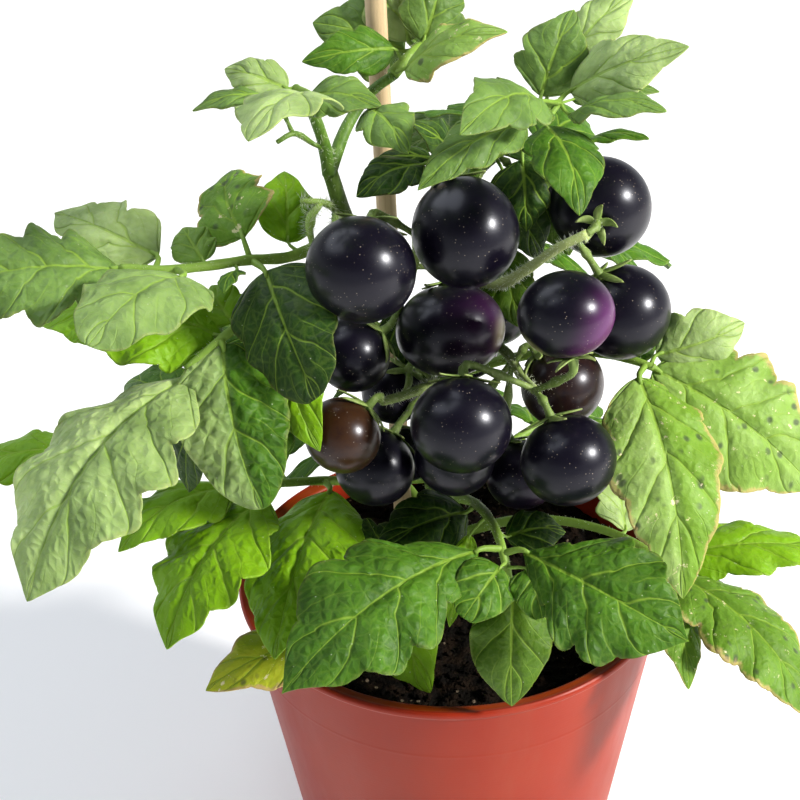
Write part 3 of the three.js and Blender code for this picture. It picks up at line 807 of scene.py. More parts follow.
@dataclass(frozen=True)
class StalkFinish:
    """Green stems, stalks and sepals, paler where their detail says so."""

    name: str
    green: Colour = (0.055, 0.125, 0.010)
    pale: Colour = (0.220, 0.330, 0.070)
    age: Colour = (0.120, 0.105, 0.045)
    warm: Colour = (0.12, 0.045, 0.027)
    fuzz: Colour = (0.62, 0.68, 0.50)
    rough: float = 0.5

    def make(self) -> bpy.types.Material:
        """Builds the material.

        Returns:
            The material.
        """
        material, nodes, shader = start_material(self.name)
        paleness, warmth, age = nodes.split(nodes.detail("stalk_tone"))
        coarse, fine = grained(nodes, 120.0, 1400.0)
        streaks = streaked(nodes, 900.0, 90.0)
        blend = nodes.band(nodes.math("MULTIPLY_ADD", coarse, 0.25, paleness), 0.1, 1.1)
        colour = nodes.mix(blend, self.green, self.pale)
        colour = nodes.mix(nodes.band(streaks, 0.35, 0.75, 0.0, 0.35), colour, self.pale)
        aged = nodes.math("MULTIPLY_ADD", coarse, 0.5, age)
        colour = nodes.mix(nodes.band(aged, 0.35, 1.2), colour, self.age)
        colour = nodes.mix(nodes.math("MULTIPLY", warmth, 0.6), colour, self.warm)
        colour = nodes.mix(nodes.band(paleness, 1.4, 1.6), colour, self.fuzz)
        nodes.feed(shader.inputs["Base Color"], colour)
        rough = nodes.band(fine, 0.2, 0.8, self.rough - 0.05, self.rough + 0.12)
        nodes.feed(shader.inputs["Roughness"], rough)
        shader.inputs["Specular IOR Level"].default_value = 0.25
        let_light_in(shader, 0.2, (0.9, 1.2, 0.3), 0.0008)
        nodes.feed(shader.inputs["Normal"], nodes.bump(nodes.math("ADD", fine, streaks), 0.00012, 0.6))
        return material


@dataclass(frozen=True)
class FruitFinish:
    """Glossy skin, nearly black, with a violet or brown flush and tiny pale dots."""

    name: str
    skin: Colour = (0.0026, 0.0018, 0.0056)
    flush: Colour = (0.088, 0.008, 0.092)
    brown: Colour = (0.0280, 0.0110, 0.0035)
    unripe: Colour = (0.17, 0.17, 0.06)
    dot: Colour = (0.32, 0.27, 0.22)
    rough: float = 0.28
    sheen: Colour = (0.82, 0.86, 1.0)

    def make(self) -> bpy.types.Material:
        """Builds the material.

        Returns:
            The material.
        """
        material, nodes, shader = start_material(self.name)
        violet, brown, unripe = nodes.split(nodes.detail("fruit_tone"))
        coarse, fine = grained(nodes, 70.0, 1500.0)
        flushed = nodes.math("MULTIPLY_ADD", coarse, 0.2, violet)
        colour = nodes.mix(nodes.band(flushed, 0.15, 1.2), self.skin, self.flush)
        mottle = nodes.noise(nodes.place(), 420.0, 4.0, 0.7)
        browned = nodes.math("MULTIPLY", brown, nodes.math("ADD", mottle, 0.4))
        colour = nodes.mix(nodes.band(browned, 0.2, 1.0), colour, self.brown)
        greened = nodes.math("MULTIPLY_ADD", coarse, 0.3, unripe)
        colour = nodes.mix(nodes.band(greened, 0.45, 1.2), colour, self.unripe)
        dots = nodes.math("SUBTRACT", 1.0, nodes.band(nodes.cells(nodes.place(), 950.0), 0.08, 0.17))
        some = nodes.band(nodes.noise(nodes.place(), 240.0, 1.0), 0.42, 0.62, 0.0, 0.6)
        colour = nodes.mix(nodes.math("MULTIPLY", dots, some), colour, self.dot)
        nodes.feed(shader.inputs["Base Color"], colour)
        bloom = nodes.noise(nodes.place(), 130.0, 5.0, 0.65)
        nodes.feed(shader.inputs["Roughness"], nodes.band(bloom, 0.3, 0.75, self.rough, self.rough + 0.09))
        shader.inputs["Specular IOR Level"].default_value = 0.19
        shader.inputs["Specular Tint"].default_value = (*self.sheen, 1.0)
        shader.inputs["Coat Weight"].default_value = 0.20
        shader.inputs["Coat Roughness"].default_value = 0.24
        nodes.feed(shader.inputs["Normal"], nodes.bump(nodes.math("ADD", fine, mottle), 0.00003, 0.35))
        return material


@dataclass(frozen=True)
class PotFinish:
    """Terracotta-red plastic with a soft gloss, fine scratches and a little dust, and painted shade along the
    rim's inner edge.
    """

    name: str
    red: Colour = (0.232, 0.0175, 0.0052)
    light: Colour = (0.272, 0.028, 0.009)
    # Painted shade: the next colour darkens the rim's inner edge, where it turns down into the pot.
    inner_rim_shade: Colour = (0.200, 0.026, 0.002)
    dust: Colour = (0.33, 0.14, 0.09)
    rough: float = 0.36

    def make(self) -> bpy.types.Material:
        """Builds the material.

        Returns:
            The material.
        """
        material, nodes, shader = start_material(self.name)
        coarse, fine = grained(nodes, 22.0, 700.0)
        x, y, height = nodes.split(nodes.place())
        reach = nodes.math("SQRT", nodes.math("MULTIPLY_ADD", x, x, nodes.math("MULTIPLY", y, y)))
        # Painted shade: a mask of the rim's inner edge, where it turns down into the pot.
        inward = nodes.band(reach, 0.0681, 0.0690, 1.0, 0.0)
        inner_rim_shade = nodes.math("MULTIPLY", nodes.band(height, 0.1195, 0.1205), inward)
        colour = nodes.mix(nodes.band(coarse, 0.35, 0.7, 0.0, 0.5), self.red, self.light)
        colour = nodes.mix(inner_rim_shade, colour, self.inner_rim_shade)
        wipe = streaked(nodes, 40.0, 9.0, 0.65)
        colour = nodes.mix(nodes.band(wipe, 0.5, 0.8, 0.0, 0.14), colour, self.dust)
        nodes.feed(shader.inputs["Base Color"], colour)
        rough = nodes.band(wipe, 0.3, 0.75, self.rough - 0.03, self.rough + 0.12)
        nodes.feed(shader.inputs["Roughness"], rough)
        shader.inputs["Specular IOR Level"].default_value = 0.15
        let_light_in(shader, 0.15, (1.0, 0.3, 0.1), 0.002)
        rings = nodes.math("SINE", nodes.math("MULTIPLY", height, 5200.0))
        skin = nodes.math("MULTIPLY_ADD", rings, 0.12, fine)
        nodes.feed(shader.inputs["Normal"], nodes.bump(skin, 0.00004, 0.5))
        return material


@dataclass(frozen=True)
class CompostFinish:
    """Damp dark compost with brown fibres and pale specks, its colours made darker still to paint the shade
    that lies on it inside the pot.
    """

    name: str
    # Painted shade: these colours are darker than the compost's own, for the shade that lies on it in the
    # pot.
    dark: Colour = (0.0016, 0.0011, 0.0007)
    brown: Colour = (0.0100, 0.0056, 0.0030)
    fleck: Colour = (0.13, 0.10, 0.07)

    def make(self) -> bpy.types.Material:
        """Builds the material.

        Returns:
            The material.
        """
        material, nodes, shader = start_material(self.name)
        coarse, fine = grained(nodes, 240.0, 1100.0)
        colour = nodes.mix(nodes.band(coarse, 0.4, 0.72), self.dark, self.brown)
        flecks = nodes.math("SUBTRACT", 1.0, nodes.band(nodes.cells(nodes.place(), 330.0), 0.12, 0.24))
        rare = nodes.band(nodes.noise(nodes.place(), 190.0, 1.0), 0.58, 0.66)
        colour = nodes.mix(nodes.math("MULTIPLY", flecks, rare), colour, self.fleck)
        nodes.feed(shader.inputs["Base Color"], colour)
        nodes.feed(shader.inputs["Roughness"], nodes.band(fine, 0.3, 0.8, 0.72, 0.98))
        shader.inputs["Specular IOR Level"].default_value = 0.06
        nodes.feed(shader.inputs["Normal"], nodes.bump(nodes.math("ADD", coarse, fine), 0.0012, 0.9))
        return material


@dataclass(frozen=True)
class CaneFinish:
    """Pale, fine-grained wood without a coating."""

    name: str
    pale: Colour = (0.46, 0.34, 0.19)
    grain: Colour = (0.32, 0.21, 0.105)
    bleached: Colour = (0.54, 0.42, 0.26)

    def make(self) -> bpy.types.Material:
        """Builds the material.

        Returns:
            The material.
        """
        material, nodes, shader = start_material(self.name)
        _, fine = grained(nodes, 90.0, 1600.0)
        lines = streaked(nodes, 1100.0, 22.0, 0.6)
        drift = streaked(nodes, 160.0, 9.0, 0.5)
        colour = nodes.mix(nodes.band(lines, 0.42, 0.75, 0.0, 0.75), self.pale, self.grain)
        colour = nodes.mix(nodes.band(drift, 0.4, 0.8, 0.0, 0.4), colour, self.bleached)
        nodes.feed(shader.inputs["Base Color"], colour)
        nodes.feed(shader.inputs["Roughness"], nodes.band(fine, 0.2, 0.8, 0.5, 0.72))
        nodes.feed(shader.inputs["Normal"], nodes.bump(nodes.math("ADD", lines, fine), 0.00015, 0.6))
        return material


@dataclass(frozen=True)
class FloorFinish:
    """A plain pale surface."""

    name: str
    white: Colour = (0.90, 0.90, 0.905)
    warm: Colour = (0.94, 0.935, 0.935)

    def make(self) -> bpy.types.Material:
        """Builds the material.

        Returns:
            The material.
        """
        material, nodes, shader = start_material(self.name)
        drift = nodes.noise(nodes.place(), 1.3, 2.0)
        colour = nodes.mix(nodes.band(drift, 0.3, 0.7), self.white, self.warm)
        nodes.feed(shader.inputs["Base Color"], colour)
        shader.inputs["Roughness"].default_value = 0.55
        return material


def dress(piece: bpy.types.Object, slot: str, materials: list[bpy.types.Material],
          *nodes: str) -> bpy.types.Object:
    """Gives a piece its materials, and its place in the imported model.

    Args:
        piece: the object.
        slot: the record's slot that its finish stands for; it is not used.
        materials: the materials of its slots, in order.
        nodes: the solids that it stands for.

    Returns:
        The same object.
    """
    for material in materials:
        piece.data.materials.append(material)
    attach(piece, ROOT_BODY)
    if nodes:
        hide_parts(*nodes)
    LOG.info("%s: %d faces", piece.name, len(piece.data.polygons))
    return piece


# ---------------------------------------------------------------- leaflets and fronds


class Tone(Enum):
    """How a leaflet's colour departs from the plant's mid green: paleness, freshness and wear. Paleness below
    zero is painted shade on leaflets that lie in shadow; above zero it is partly the leaflet's own paler
    green and partly a painted sheen of light.
    """

    # Painted shade: the first tone darkens leaflets that lie in shadow.
    IN_SHADOW = (-0.7, 0.0, 0.0)
    MID = (0.02, 0.1, 0.1)
    BRIGHT = (0.2, 0.4, 0.1)
    SILVERY = (0.24, 0.1, 0.2)
    MILKY = (0.45, 0.1, 0.2)
    PALE = (0.86, 0.1, 0.2)
    SHADED = (-0.8, 0.33, 0.1)
    FRESH = (0.0, 0.8, 0.1)
    WORN = (0.38, 0.6, 0.6)
    SPOTTED = (0.08, 0.4, 0.6)
    YELLOWED = (0.1, 0.8, 0.9)


@dataclass(frozen=True)
class Leaflet:
    """One leaflet: where its blade starts, where its tip is, its width, and how it departs from others.

    Its lobing is the depth of its notches, its quilt that of the cells between its veins, a blunt leaflet
    is fuller near its tip, its slant is how much paler its left half is painted than its right, a painted
    sheen on the one half and painted shade on the other, and its middle is where along it it is widest.
    """

    at: Point
    tip: Point
    width: float
    face: Point | None = None
    tone: Tone = Tone.MID
    lobing: float = 1.0
    quilt: float = 0.4
    blunt: float = 0.15
    painted_light_slant: float = 0.0
    middle: float = 0.33


@dataclass(frozen=True)
class BladeForm:
    """The form that all blades share, as shares of their length or half width."""

    notch: float = 0.26
    teeth: float = 0.035
    sweep: float = 0.05
    arch: float = 0.13
    droop: float = 0.22
    thickness: float = 0.42
    stem_axis: Point = (-8.0, 0.0, 0.0)
    outward: float = 0.5
    upward: float = 0.86
    rib_lean: float = 0.95

    def frame(self, leaf: Leaflet) -> tuple[np.ndarray, np.ndarray, np.ndarray, np.ndarray, float]:
        """Works out how a leaflet lies.

        Args:
            leaf: the leaflet.

        Returns:
            Its start, its directions along, up and across, and its length.
        """
        start = np.array(leaf.at, float)
        reach = np.array(leaf.tip, float) - start
        length = float(np.linalg.norm(reach))
        along = reach / length
        away = (start + np.array(leaf.tip)) / 2 - np.array(self.stem_axis)
        away[2] = 0
        hint = np.array(leaf.face, float) if leaf.face else unit(away) * self.outward + (0, 0, self.upward)
        up = unit(hint - along * np.dot(hint, along))
        return start, along, up, np.cross(along, up), length

    @staticmethod
    def lobes(length: float) -> float:
        """How many lobes a blade has on each side.

        Args:
            length: the blade's length.

        Returns:
            The lobes on one side.
        """
        if length > 46:
            return 4.0
        if length > 36:
            return 3.0
        return 2.5 if length > 14 else 2.0

    def patch(self, leaf: Leaflet, seed: int, fineness: float = 1.0) -> Patch:
        """Bends a net to a leaflet's blade.

        Args:
            leaf: the leaflet.
            seed: picks its own unevenness.
            fineness: faces for each millimetre of it.

        Returns:
            The patch.
        """
        start, along, up, across, length = self.frame(leaf)
        lobes = self.lobes(length)
        chance = random.Random(seed)
        twist = chance.uniform(-0.16, 0.16)
        bow = chance.uniform(-0.045, 0.045)
        notch = self.notch * leaf.lobing * chance.uniform(0.75, 1.15)
        teeth = self.teeth * chance.uniform(0.7, 1.3) * (0.35 + 0.65 * leaf.lobing)
        drift = [chance.uniform(0, 6.28) for _ in range(8)]
        shift = np.array([chance.uniform(-400, 400) for _ in range(3)])
        pitch = length / lobes
        fullness = math.log(0.5) / math.log(leaf.middle)

        def bend(x: np.ndarray, u: np.ndarray) -> tuple[np.ndarray, dict[str, np.ndarray]]:
            """Draws the net out to the lobed outline and arches it.

            Args:
                x: each point's place across the net, -1 to 1.
                u: its place along the net, 0 to 1.

            Returns:
                The points' places in millimetres, and their details.
            """
            edge = np.abs(x)
            side = np.where(x < 0, -1.0, 1.0)
            phase = u * lobes + 0.12 * np.sin(2.4 * math.pi * u + drift[0] + side)
            part = phase - np.floor(phase)
            lobe = np.sin(math.pi * part) ** 0.55
            tooth_part = (phase * 3.0 + 0.5) % 1.0
            tooth = np.sin(math.pi * tooth_part) ** 0.6
            envelope = np.maximum(np.sin(math.pi * np.clip(u, 0, 1) ** fullness), 0) ** (1 - leaf.blunt)
            depth = notch * (1.5 - 1.15 * u)
            margin = 1 - depth * (1 - lobe) - teeth * (1 - tooth)
            half = leaf.width / 2 * envelope * margin
            half = np.where(u > 0.9999, 0, np.maximum(half, 0.12))
            swept = u + self.sweep * (0.4 + 0.6 * lobe) * edge**2 * envelope
            rib = phase - 0.5 + self.rib_lean * (1 - edge**0.9)
            between = np.abs(np.sin(math.pi * rib))
            pucker = 0.05 * min(pitch, leaf.width * 0.5) * between**0.8
            pucker = pucker * np.minimum(1, edge * 3.0) * (1 - edge**4)
            groove = 0.035 * leaf.width * (1 - np.exp(-((edge * half / 1.6) ** 2)))
            wave = 0.10 * half * edge**2.2 * np.sin(2 * math.pi * phase + drift[1] + 1.7 * side)
            crumple = 0.3 * leaf.quilt * np.sin(x * half * 1.15 + drift[2])
            crumple = crumple * np.sin(u * length * 0.95 + drift[3]) * envelope
            roll = x * half * np.sin(twist * (u - 0.25) * 3)
            lift = 4 * self.arch * length * u * (1 - u) - self.droop * half * edge**1.35 - 0.03 * leaf.width
            lift = lift + pucker * envelope + groove * envelope + wave + crumple + roll
            sideways = x * half + bow * length * 4 * u * (1 - u)
            spots = start + np.outer(swept * length, along) + np.outer(lift, up) + np.outer(sideways, across)
            ones = np.ones_like(u)
            tone = np.tile(leaf.tone.value, (len(u), 1))
            # Painted light: the slant makes one half of the blade paler, a painted sheen, and the other
            # darker, painted shade.
            tone[:, 0] += leaf.painted_light_slant * np.clip(5 * x, -1, 1)
            return spots, {
                "leaf_place": np.stack([edge, rib, u], axis=1),
                "leaf_size": np.stack([edge * half, pitch * ones, leaf.quilt * ones], axis=1),
                "leaf_net": np.stack([x * half, u * length, 0 * ones], axis=1) + shift,
                "leaf_tone": tone,
            }

        columns = max(8, 2 * int(leaf.width * fineness * 0.5))
        rows = max(10, int(length * fineness * 1.25))
        return Patch(columns, rows, bend)


@dataclass(frozen=True)
class Frond:
    """A leaf stalk with its leaflets, as one of the part's solids has them."""

    node: str
    stalk: tuple[Point, ...]
    leaflets: tuple[Leaflet, ...]
    fineness: float = 1.5
    radii: tuple[float, float] = (1.75, 1.15)
    paleness: float = 0.45
    hairy: float = 2.2

    def build(self, form: BladeForm, leaf: list[bpy.types.Material], stalk: bpy.types.Material,
              seed: int) -> None:
        """Builds and dresses the frond's blades and its stalks.

        Args:
            form: the form that the blades share.
            leaf: the materials of the blades' upper and lower faces.
            stalk: the stalks' material.
            seed: picks the frond's own unevenness.
        """
        blades = weave(f"{self.node}_blades", [
            form.patch(item, seed * 31 + i, self.fineness) for i, item in enumerate(self.leaflets)
        ])
        thicken(blades, form.thickness, -1.0).material_offset = 1
        dress(blades, "leaf", leaf, self.node)

        points = list(self.stalk)
        detail = (self.paleness, 0.0, 0.0)
        patches = [tube(points, self.radii, 12, rough=0.05, seed=seed, detail=detail)]
        patches += hairs(points, self.radii, self.hairy, 1.0, seed)
        for i, item in enumerate(self.leaflets):
            start, along, up, _, length = form.frame(item)
            root = nearest_on(points, start)
            sunk = start + along * min(2.5, 0.08 * length)
            small = max(0.5, min(0.95, item.width * 0.03))
            way = [tuple(root), tuple(start - up * 0.2), tuple(sunk + up * 0.25)]
            if math.dist(way[0], way[1]) < 0.5:
                way = [tuple(start - along * 1.2), *way[1:]]
            patches.append(tube(way, (small * 1.15, small, small * 0.6), 8, 5, detail=detail, seed=i))
        dress(weave(f"{self.node}_stalks", patches), "leaf", [stalk], self.node)


@dataclass(frozen=True)
class FrondRule:
    """The rule of the fronds at the plant's back: pairs of side leaflets and a larger one at the end."""

    pairs: tuple[float, ...] = (0.42, 0.7)
    stagger: float = 0.05
    base: float = 2.0
    spread: float = 62.0
    side_size: tuple[float, ...] = (0.72, 0.86)
    width: float = 0.68
    leaf_drop: float = 0.5
    rise_turn: float = 0.62
    drop_power: float = 2.4

    def frond(self, node: str, start: Point, turn: float, reach: float, rise: float, drop: float,
              size: float) -> Frond:
        """Works a frond out from its direction and size.

        Args:
            node: the solid's name.
            start: where its stalk leaves the stem.
            turn: its heading, in degrees.
            reach: how far its stalk goes.
            rise: how high its stalk rises.
            drop: how far its stalk's end falls.
            size: its end leaflet's length.

        Returns:
            The frond.
        """
        heading = math.radians(turn)
        out = np.array([math.cos(heading), math.sin(heading), 0.0])

        def place(share: float) -> np.ndarray:
            """The stalk's place at a share of its length."""
            height = rise * math.sin(share * math.pi * self.rise_turn) - drop * share**self.drop_power
            return np.array(start) + out * reach * share + (0, 0, height)

        def leaflet(share: float, angle: float, length: float) -> Leaflet:
            """Works one leaflet out.

            Args:
                share: how far along the stalk it is.
                angle: its angle to the stalk.
                length: its length.

            Returns:
                The leaflet.
            """
            swing = heading + math.radians(angle)
            way = np.array([math.cos(swing), math.sin(swing), 0.0])
            base = place(share) + way * self.base
            tip = base + way * length - np.array((0, 0, self.leaf_drop * length))
            return Leaflet(tuple(base), tuple(tip), length * self.width)

        leaflets = [leaflet(1.0, 0.0, size)]
        for share, part in zip(self.pairs, self.side_size):
            for side in (-1, 1):
                leaflets.append(leaflet(share + side * self.stagger, side * self.spread, size * part))
        stalk = tuple(tuple(place(share)) for share in (0.0, 0.3, 0.65, 1.0))
        return Frond(node, stalk, tuple(leaflets), fineness=1.0, hairy=1.0)


@dataclass(frozen=True)
class Foliage:
    """All fronds and leafy shoots of the plant."""

    form: BladeForm = BladeForm()
    rule: FrondRule = FrondRule()
    first_seed: int = 7

    def fronds(self) -> list[Frond]:
        """The fronds, the same as the part's solids.

        Returns:
            All fronds, the front ones first.
        """
        # The deep tone is painted shade for leaflets in shadow; pale, silvery and milky are partly a painted
        # sheen.
        deep, bright, silvery, pale = Tone.IN_SHADOW, Tone.BRIGHT, Tone.SILVERY, Tone.PALE
        shaded, fresh, worn, yellowed = Tone.SHADED, Tone.FRESH, Tone.WORN, Tone.YELLOWED
        milky, spotted = Tone.MILKY, Tone.SPOTTED
        front = [
            Frond("frond_upper_left", (
                (-27, -7, 249), (-42, -15, 245), (-55, -30, 251), (-74, -40, 254), (-87, -40, 255),
            ), (
                Leaflet((-87, -40, 255), (-132, -50, 256), 34, (-0.2, -0.4, 0.9), silvery, 1.5, 0.7),
                Leaflet((-78, -33, 255), (-109, -11, 259), 27, (0.0, -0.5, 0.85), pale, 1.5, 0.5, 0.0),
                Leaflet((-69, -49, 257), (-88, -85, 258), 30, (-0.1, -0.4, 0.9), milky, 0.08, 0.5, 0.5),
                Leaflet((-66, -33, 253), (-73, -18, 256), 13, (0.1, -0.7, 0.7), bright, 0.6),
                Leaflet((-56, -25, 256), (-61, 5, 263), 26, tone=spotted, lobing=1.5),
                Leaflet((-45, -9, 246), (-46, 12, 259), 18, (0.3, -0.8, 0.5), fresh, 0.3, 0.7),
                Leaflet((-57, -35, 251), (-60, -46, 250), 8),
                Leaflet((-50, -34, 250), (-37, -63, 227), 30, (-0.4, -0.6, 0.7), deep, 0.3, 0.5, 0.55),
            )),
            Frond("frond_left", (
                (-17, -2, 222), (-34, -8, 232), (-48, -24, 236), (-61, -40, 234), (-72, -46, 227),
            ), (
                Leaflet((-72, -46, 226), (-112, -95, 190), 47, tone=pale, lobing=0.75, quilt=0.8,
                        painted_light_slant=0.2, middle=0.4),
                Leaflet((-62, -43, 233), (-53, -68, 196), 31, (0, -0.8, 0.5), silvery, 0.12, 1.0, 0.45, 0.38),
                Leaflet((-63, -35, 231), (-116, -22, 231), 36, tone=fresh, lobing=0.4, quilt=0.8),
                Leaflet((-60, -33, 234), (-67, -18, 238), 14, tone=fresh, lobing=0.5),
                Leaflet((-66, -38, 225), (-76, -46, 187), 24, (-0.6, -0.5, 0.3), deep),
                Leaflet((-49, -30, 232), (-37, -62, 210), 22, (-0.4, -0.6, 0.6), fresh, 0.3),
                Leaflet((-15, -5, 222), (-12, -9, 204), 14, (0.1, -0.9, 0.3), deep, 0.3),
            )),
            Frond("frond_lower_left", (
                (-5, 0, 158), (-24, -8, 163), (-40, -16, 169), (-54, -24, 174), (-66, -27, 176),
            ), (
                Leaflet((-66, -27, 176), (-98, -46, 168), 29, tone=fresh),
                Leaflet((-56, -31, 175), (-83, -72, 153), 38, tone=fresh, lobing=0.5, quilt=0.7, middle=0.42),
                Leaflet((-37, -20, 169), (-53, -73, 149), 38, tone=fresh, lobing=0.5, quilt=0.7, middle=0.42),
                Leaflet((-52, -17, 174), (-66, 8, 176), 20),
            )),
            Frond("frond_far_left", (
                (-5, 0, 160), (-22, 3, 171), (-40, 5, 179), (-70, 2, 186), (-96, -8, 185), (-112, -12, 181),
            ), (
                Leaflet((-112, -12, 181), (-152, -8, 170), 26, tone=fresh),
                Leaflet((-92, -10, 184), (-116, -42, 178), 22, tone=fresh),
                Leaflet((-84, 4, 185), (-104, 30, 180), 24),
                Leaflet((-60, 10, 185), (-72, 42, 186), 24),
            )),
            Frond("frond_low_front", ((-3, 0, 128), (-16, -22, 138), (-30, -42, 138), (-39, -49, 135)), (
                Leaflet((-39, -49, 135), (-75, -62, 128), 24, tone=yellowed),
                Leaflet((-22, -36, 137), (-9, -59, 121), 22, tone=fresh),
                Leaflet((-16, -18, 139), (-38, -14, 148), 20, tone=deep),
            )),
            Frond("frond_front", (
                (-3, 0, 150), (5, -22, 164), (10, -44, 172), (12, -60, 174), (14, -66, 164),
            ), (
                Leaflet((6, -62, 176), (-48, -104, 164), 40, (-0.1, -0.6, 0.8), lobing=1.05, quilt=0.75,
                        blunt=-0.1, middle=0.5),
                Leaflet((17, -63, 176), (58, -95, 169), 38, (0.1, -0.6, 0.8), lobing=1.05, quilt=0.75,
                        blunt=-0.1, middle=0.5),
                Leaflet((11, -69, 175), (0, -83, 169), 17, (0, -0.8, 0.6), lobing=0.1, quilt=0.8, blunt=0.55),
                Leaflet((18, -69, 174), (21, -83, 168), 13, (0, -0.8, 0.6), lobing=0.1, quilt=0.8,
                        blunt=0.55),
                Leaflet((15, -62, 160), (14, -74, 128), 24, (0, -0.9, 0.3), shaded, 0.1),
                Leaflet((14, -49, 170), (32, -42, 166), 14, tone=deep, lobing=0.3),
                Leaflet((4, -42, 166), (-3, -57, 144), 9, (0, -0.9, 0.3), fresh, 0.2),
                Leaflet((4, -29, 165), (-23, -44, 165), 24, (-0.1, -0.6, 0.8), deep),
            )),
            Frond("frond_right", (
                (-10, 1, 190), (14, 2, 198), (34, -10, 208), (50, -26, 214), (57, -30, 213),
            ), (
                Leaflet((52, -34, 213), (60, -77, 168), 33, (0.1, -0.8, 0.5), worn, 0.5, painted_light_slant=0.2),
                Leaflet((57, -30, 213), (102, -46, 181), 44, (0.2, -0.7, 0.6), worn, 1.35),
                Leaflet((58, -26, 215), (84, -20, 221), 22, (0.1, -0.8, 0.6), pale),
                Leaflet((44, -12, 212), (66, 10, 204), 24),
                Leaflet((30, -6, 206), (40, 18, 208), 18),
            )),
            Frond("frond_lower_right", ((-3, 0, 134), (24, -8, 146), (48, -20, 149), (66, -34, 146)), (
                Leaflet((68, -38, 145), (102, -75, 120), 36, tone=spotted, lobing=1.3),
                Leaflet((66, -26, 144), (120, -20, 138), 26, tone=fresh),
                Leaflet((62, -42, 146), (66, -68, 127), 17, tone=spotted),
                Leaflet((54, -17, 147), (50, 3, 157), 20, tone=pale),
            )),
            Frond("shoot_top_left", ((-36, -35, 297), (-38, -39, 302)), (
                Leaflet((-34, -46, 303), (-47, -78, 305), 26, tone=pale, quilt=0.2),
                Leaflet((-40, -39, 302), (-56, -31, 305), 13, tone=pale),
                Leaflet((-45, -41, 301), (-63, -46, 300), 10, tone=silvery),
                Leaflet((-35, -42, 301), (-17, -50, 301), 15, tone=silvery),
                Leaflet((-20, -48, 300), (-11, -63, 294), 15, tone=silvery),
            )),
            Frond("shoot_top", ((-14, 2, 290), (-8, 8, 294), (-6, 16, 293), (-7, 22, 290)), (
                Leaflet((-11, -2, 293), (16, -12, 306), 20, (0.1, -0.4, 0.9), worn, 0.5),
                Leaflet((-10, 24, 289), (-36, 25, 298), 26, (0.1, -0.9, 0.4), silvery),
                Leaflet((-9, 20, 293), (-14, 28, 318), 24, (-0.1, -0.8, 0.5), pale),
                Leaflet((-5, 14, 295), (1, 26, 314), 20, (0.2, -0.8, 0.5), silvery),
                Leaflet((-4, 21, 291), (4, 47, 290), 24, tone=bright),
                Leaflet((-13, 3, 297), (-38, -5, 297), 14, (0.2, -0.8, 0.5)),
            )),
            Frond("shoot_top_right", ((24, -28, 290), (28, -32, 293)), (
                Leaflet((23, -40, 297), (1, -72, 302), 20, tone=silvery, lobing=1.3),
                Leaflet((19, -40, 291), (-9, -62, 284), 15, tone=silvery),
                Leaflet((24, -38, 290), (30, -64, 277), 21, (0.2, -0.8, 0.5)),
                Leaflet((24, -24, 292), (33, -16, 312), 20, (0.1, -0.8, 0.6), silvery),
                Leaflet((31, -26, 294), (59, -35, 308), 21, (0.4, -0.6, 0.75), pale),
                Leaflet((30, -34, 291), (52, -49, 297), 16, tone=silvery),
                Leaflet((33, -16, 288), (56, -17, 290), 12, tone=silvery),
                Leaflet((32, -4, 294), (52, 8, 309), 16, (-0.1, -0.6, 0.8), pale),
            )),
            Frond("frond_inner_top", ((7, 0, 255), (2, -7, 264), (-4, -8, 268)), (
                Leaflet((-6, -8, 268), (-25, -17, 263), 16, tone=deep),
                Leaflet((1, -9, 269), (-9, -27, 287), 13, (0.1, -0.8, 0.5), deep),
                Leaflet((-4, -4, 268), (-20, 0, 266), 11, tone=deep),
                Leaflet((14, 0, 238), (21, -2, 212), 17, (0, -0.9, 0.3), shaded, 0.4),
            )),
            Frond("frond_inner_right", ((9, -4, 266), (18, -4, 270), (27, -7, 272), (33, -10, 272)), (
                Leaflet((34, -11, 272), (53, -22, 279), 12),
                Leaflet((30, -12, 270), (40, -27, 270), 12),
                Leaflet((21, -8, 268), (22, -12, 248), 17, (0, -0.95, 0.1), deep),
                Leaflet((26, -3, 272), (42, 22, 268), 20),
                Leaflet((16, 0, 262), (27, -2, 234), 18, (0, -0.9, 0.3), deep, 0.6),
                Leaflet((27, 8, 262), (37, 8, 230), 17, (0.1, -0.9, 0.3), shaded, 0.6),
            )),
        ]
        back = [
            self.rule.frond("frond_back_low_left", (-3, 4, 134), 132, 78, 26, 24, 46),
            self.rule.frond("frond_back_low_right", (-1, 4, 142), 39, 84, 26, 32, 44),
            self.rule.frond("frond_back_middle", (-3, 4, 148), 95, 84, 34, 26, 46),
            self.rule.frond("frond_back_left", (-13, 0, 206), 158, 46, 14, 14, 34),
            self.rule.frond("frond_back_right", (0, 6, 222), 40, 62, 18, 26, 40),
            self.rule.frond("frond_back_top", (5, 4, 246), 80, 56, 20, 10, 40),
        ]
        return front + back

    def build(self, stalk: bpy.types.Material) -> None:
        """Builds and dresses every frond.

        Args:
            stalk: the material of the fronds' stalks.
        """
        below = LeafFinish(
            "leaf_underside", deep=(0.055, 0.120, 0.022), green=(0.100, 0.190, 0.040),
            pale=(0.240, 0.340, 0.130), rib=(0.280, 0.370, 0.130), rough=0.6, quilt=0.7, underside=True,
        )
        leaf = [LeafFinish("leaf_top").make(), below.make()]
        for i, frond in enumerate(self.fronds()):
            frond.build(self.form, leaf, stalk, self.first_seed + i)


# ---------------------------------------------------------------- stem


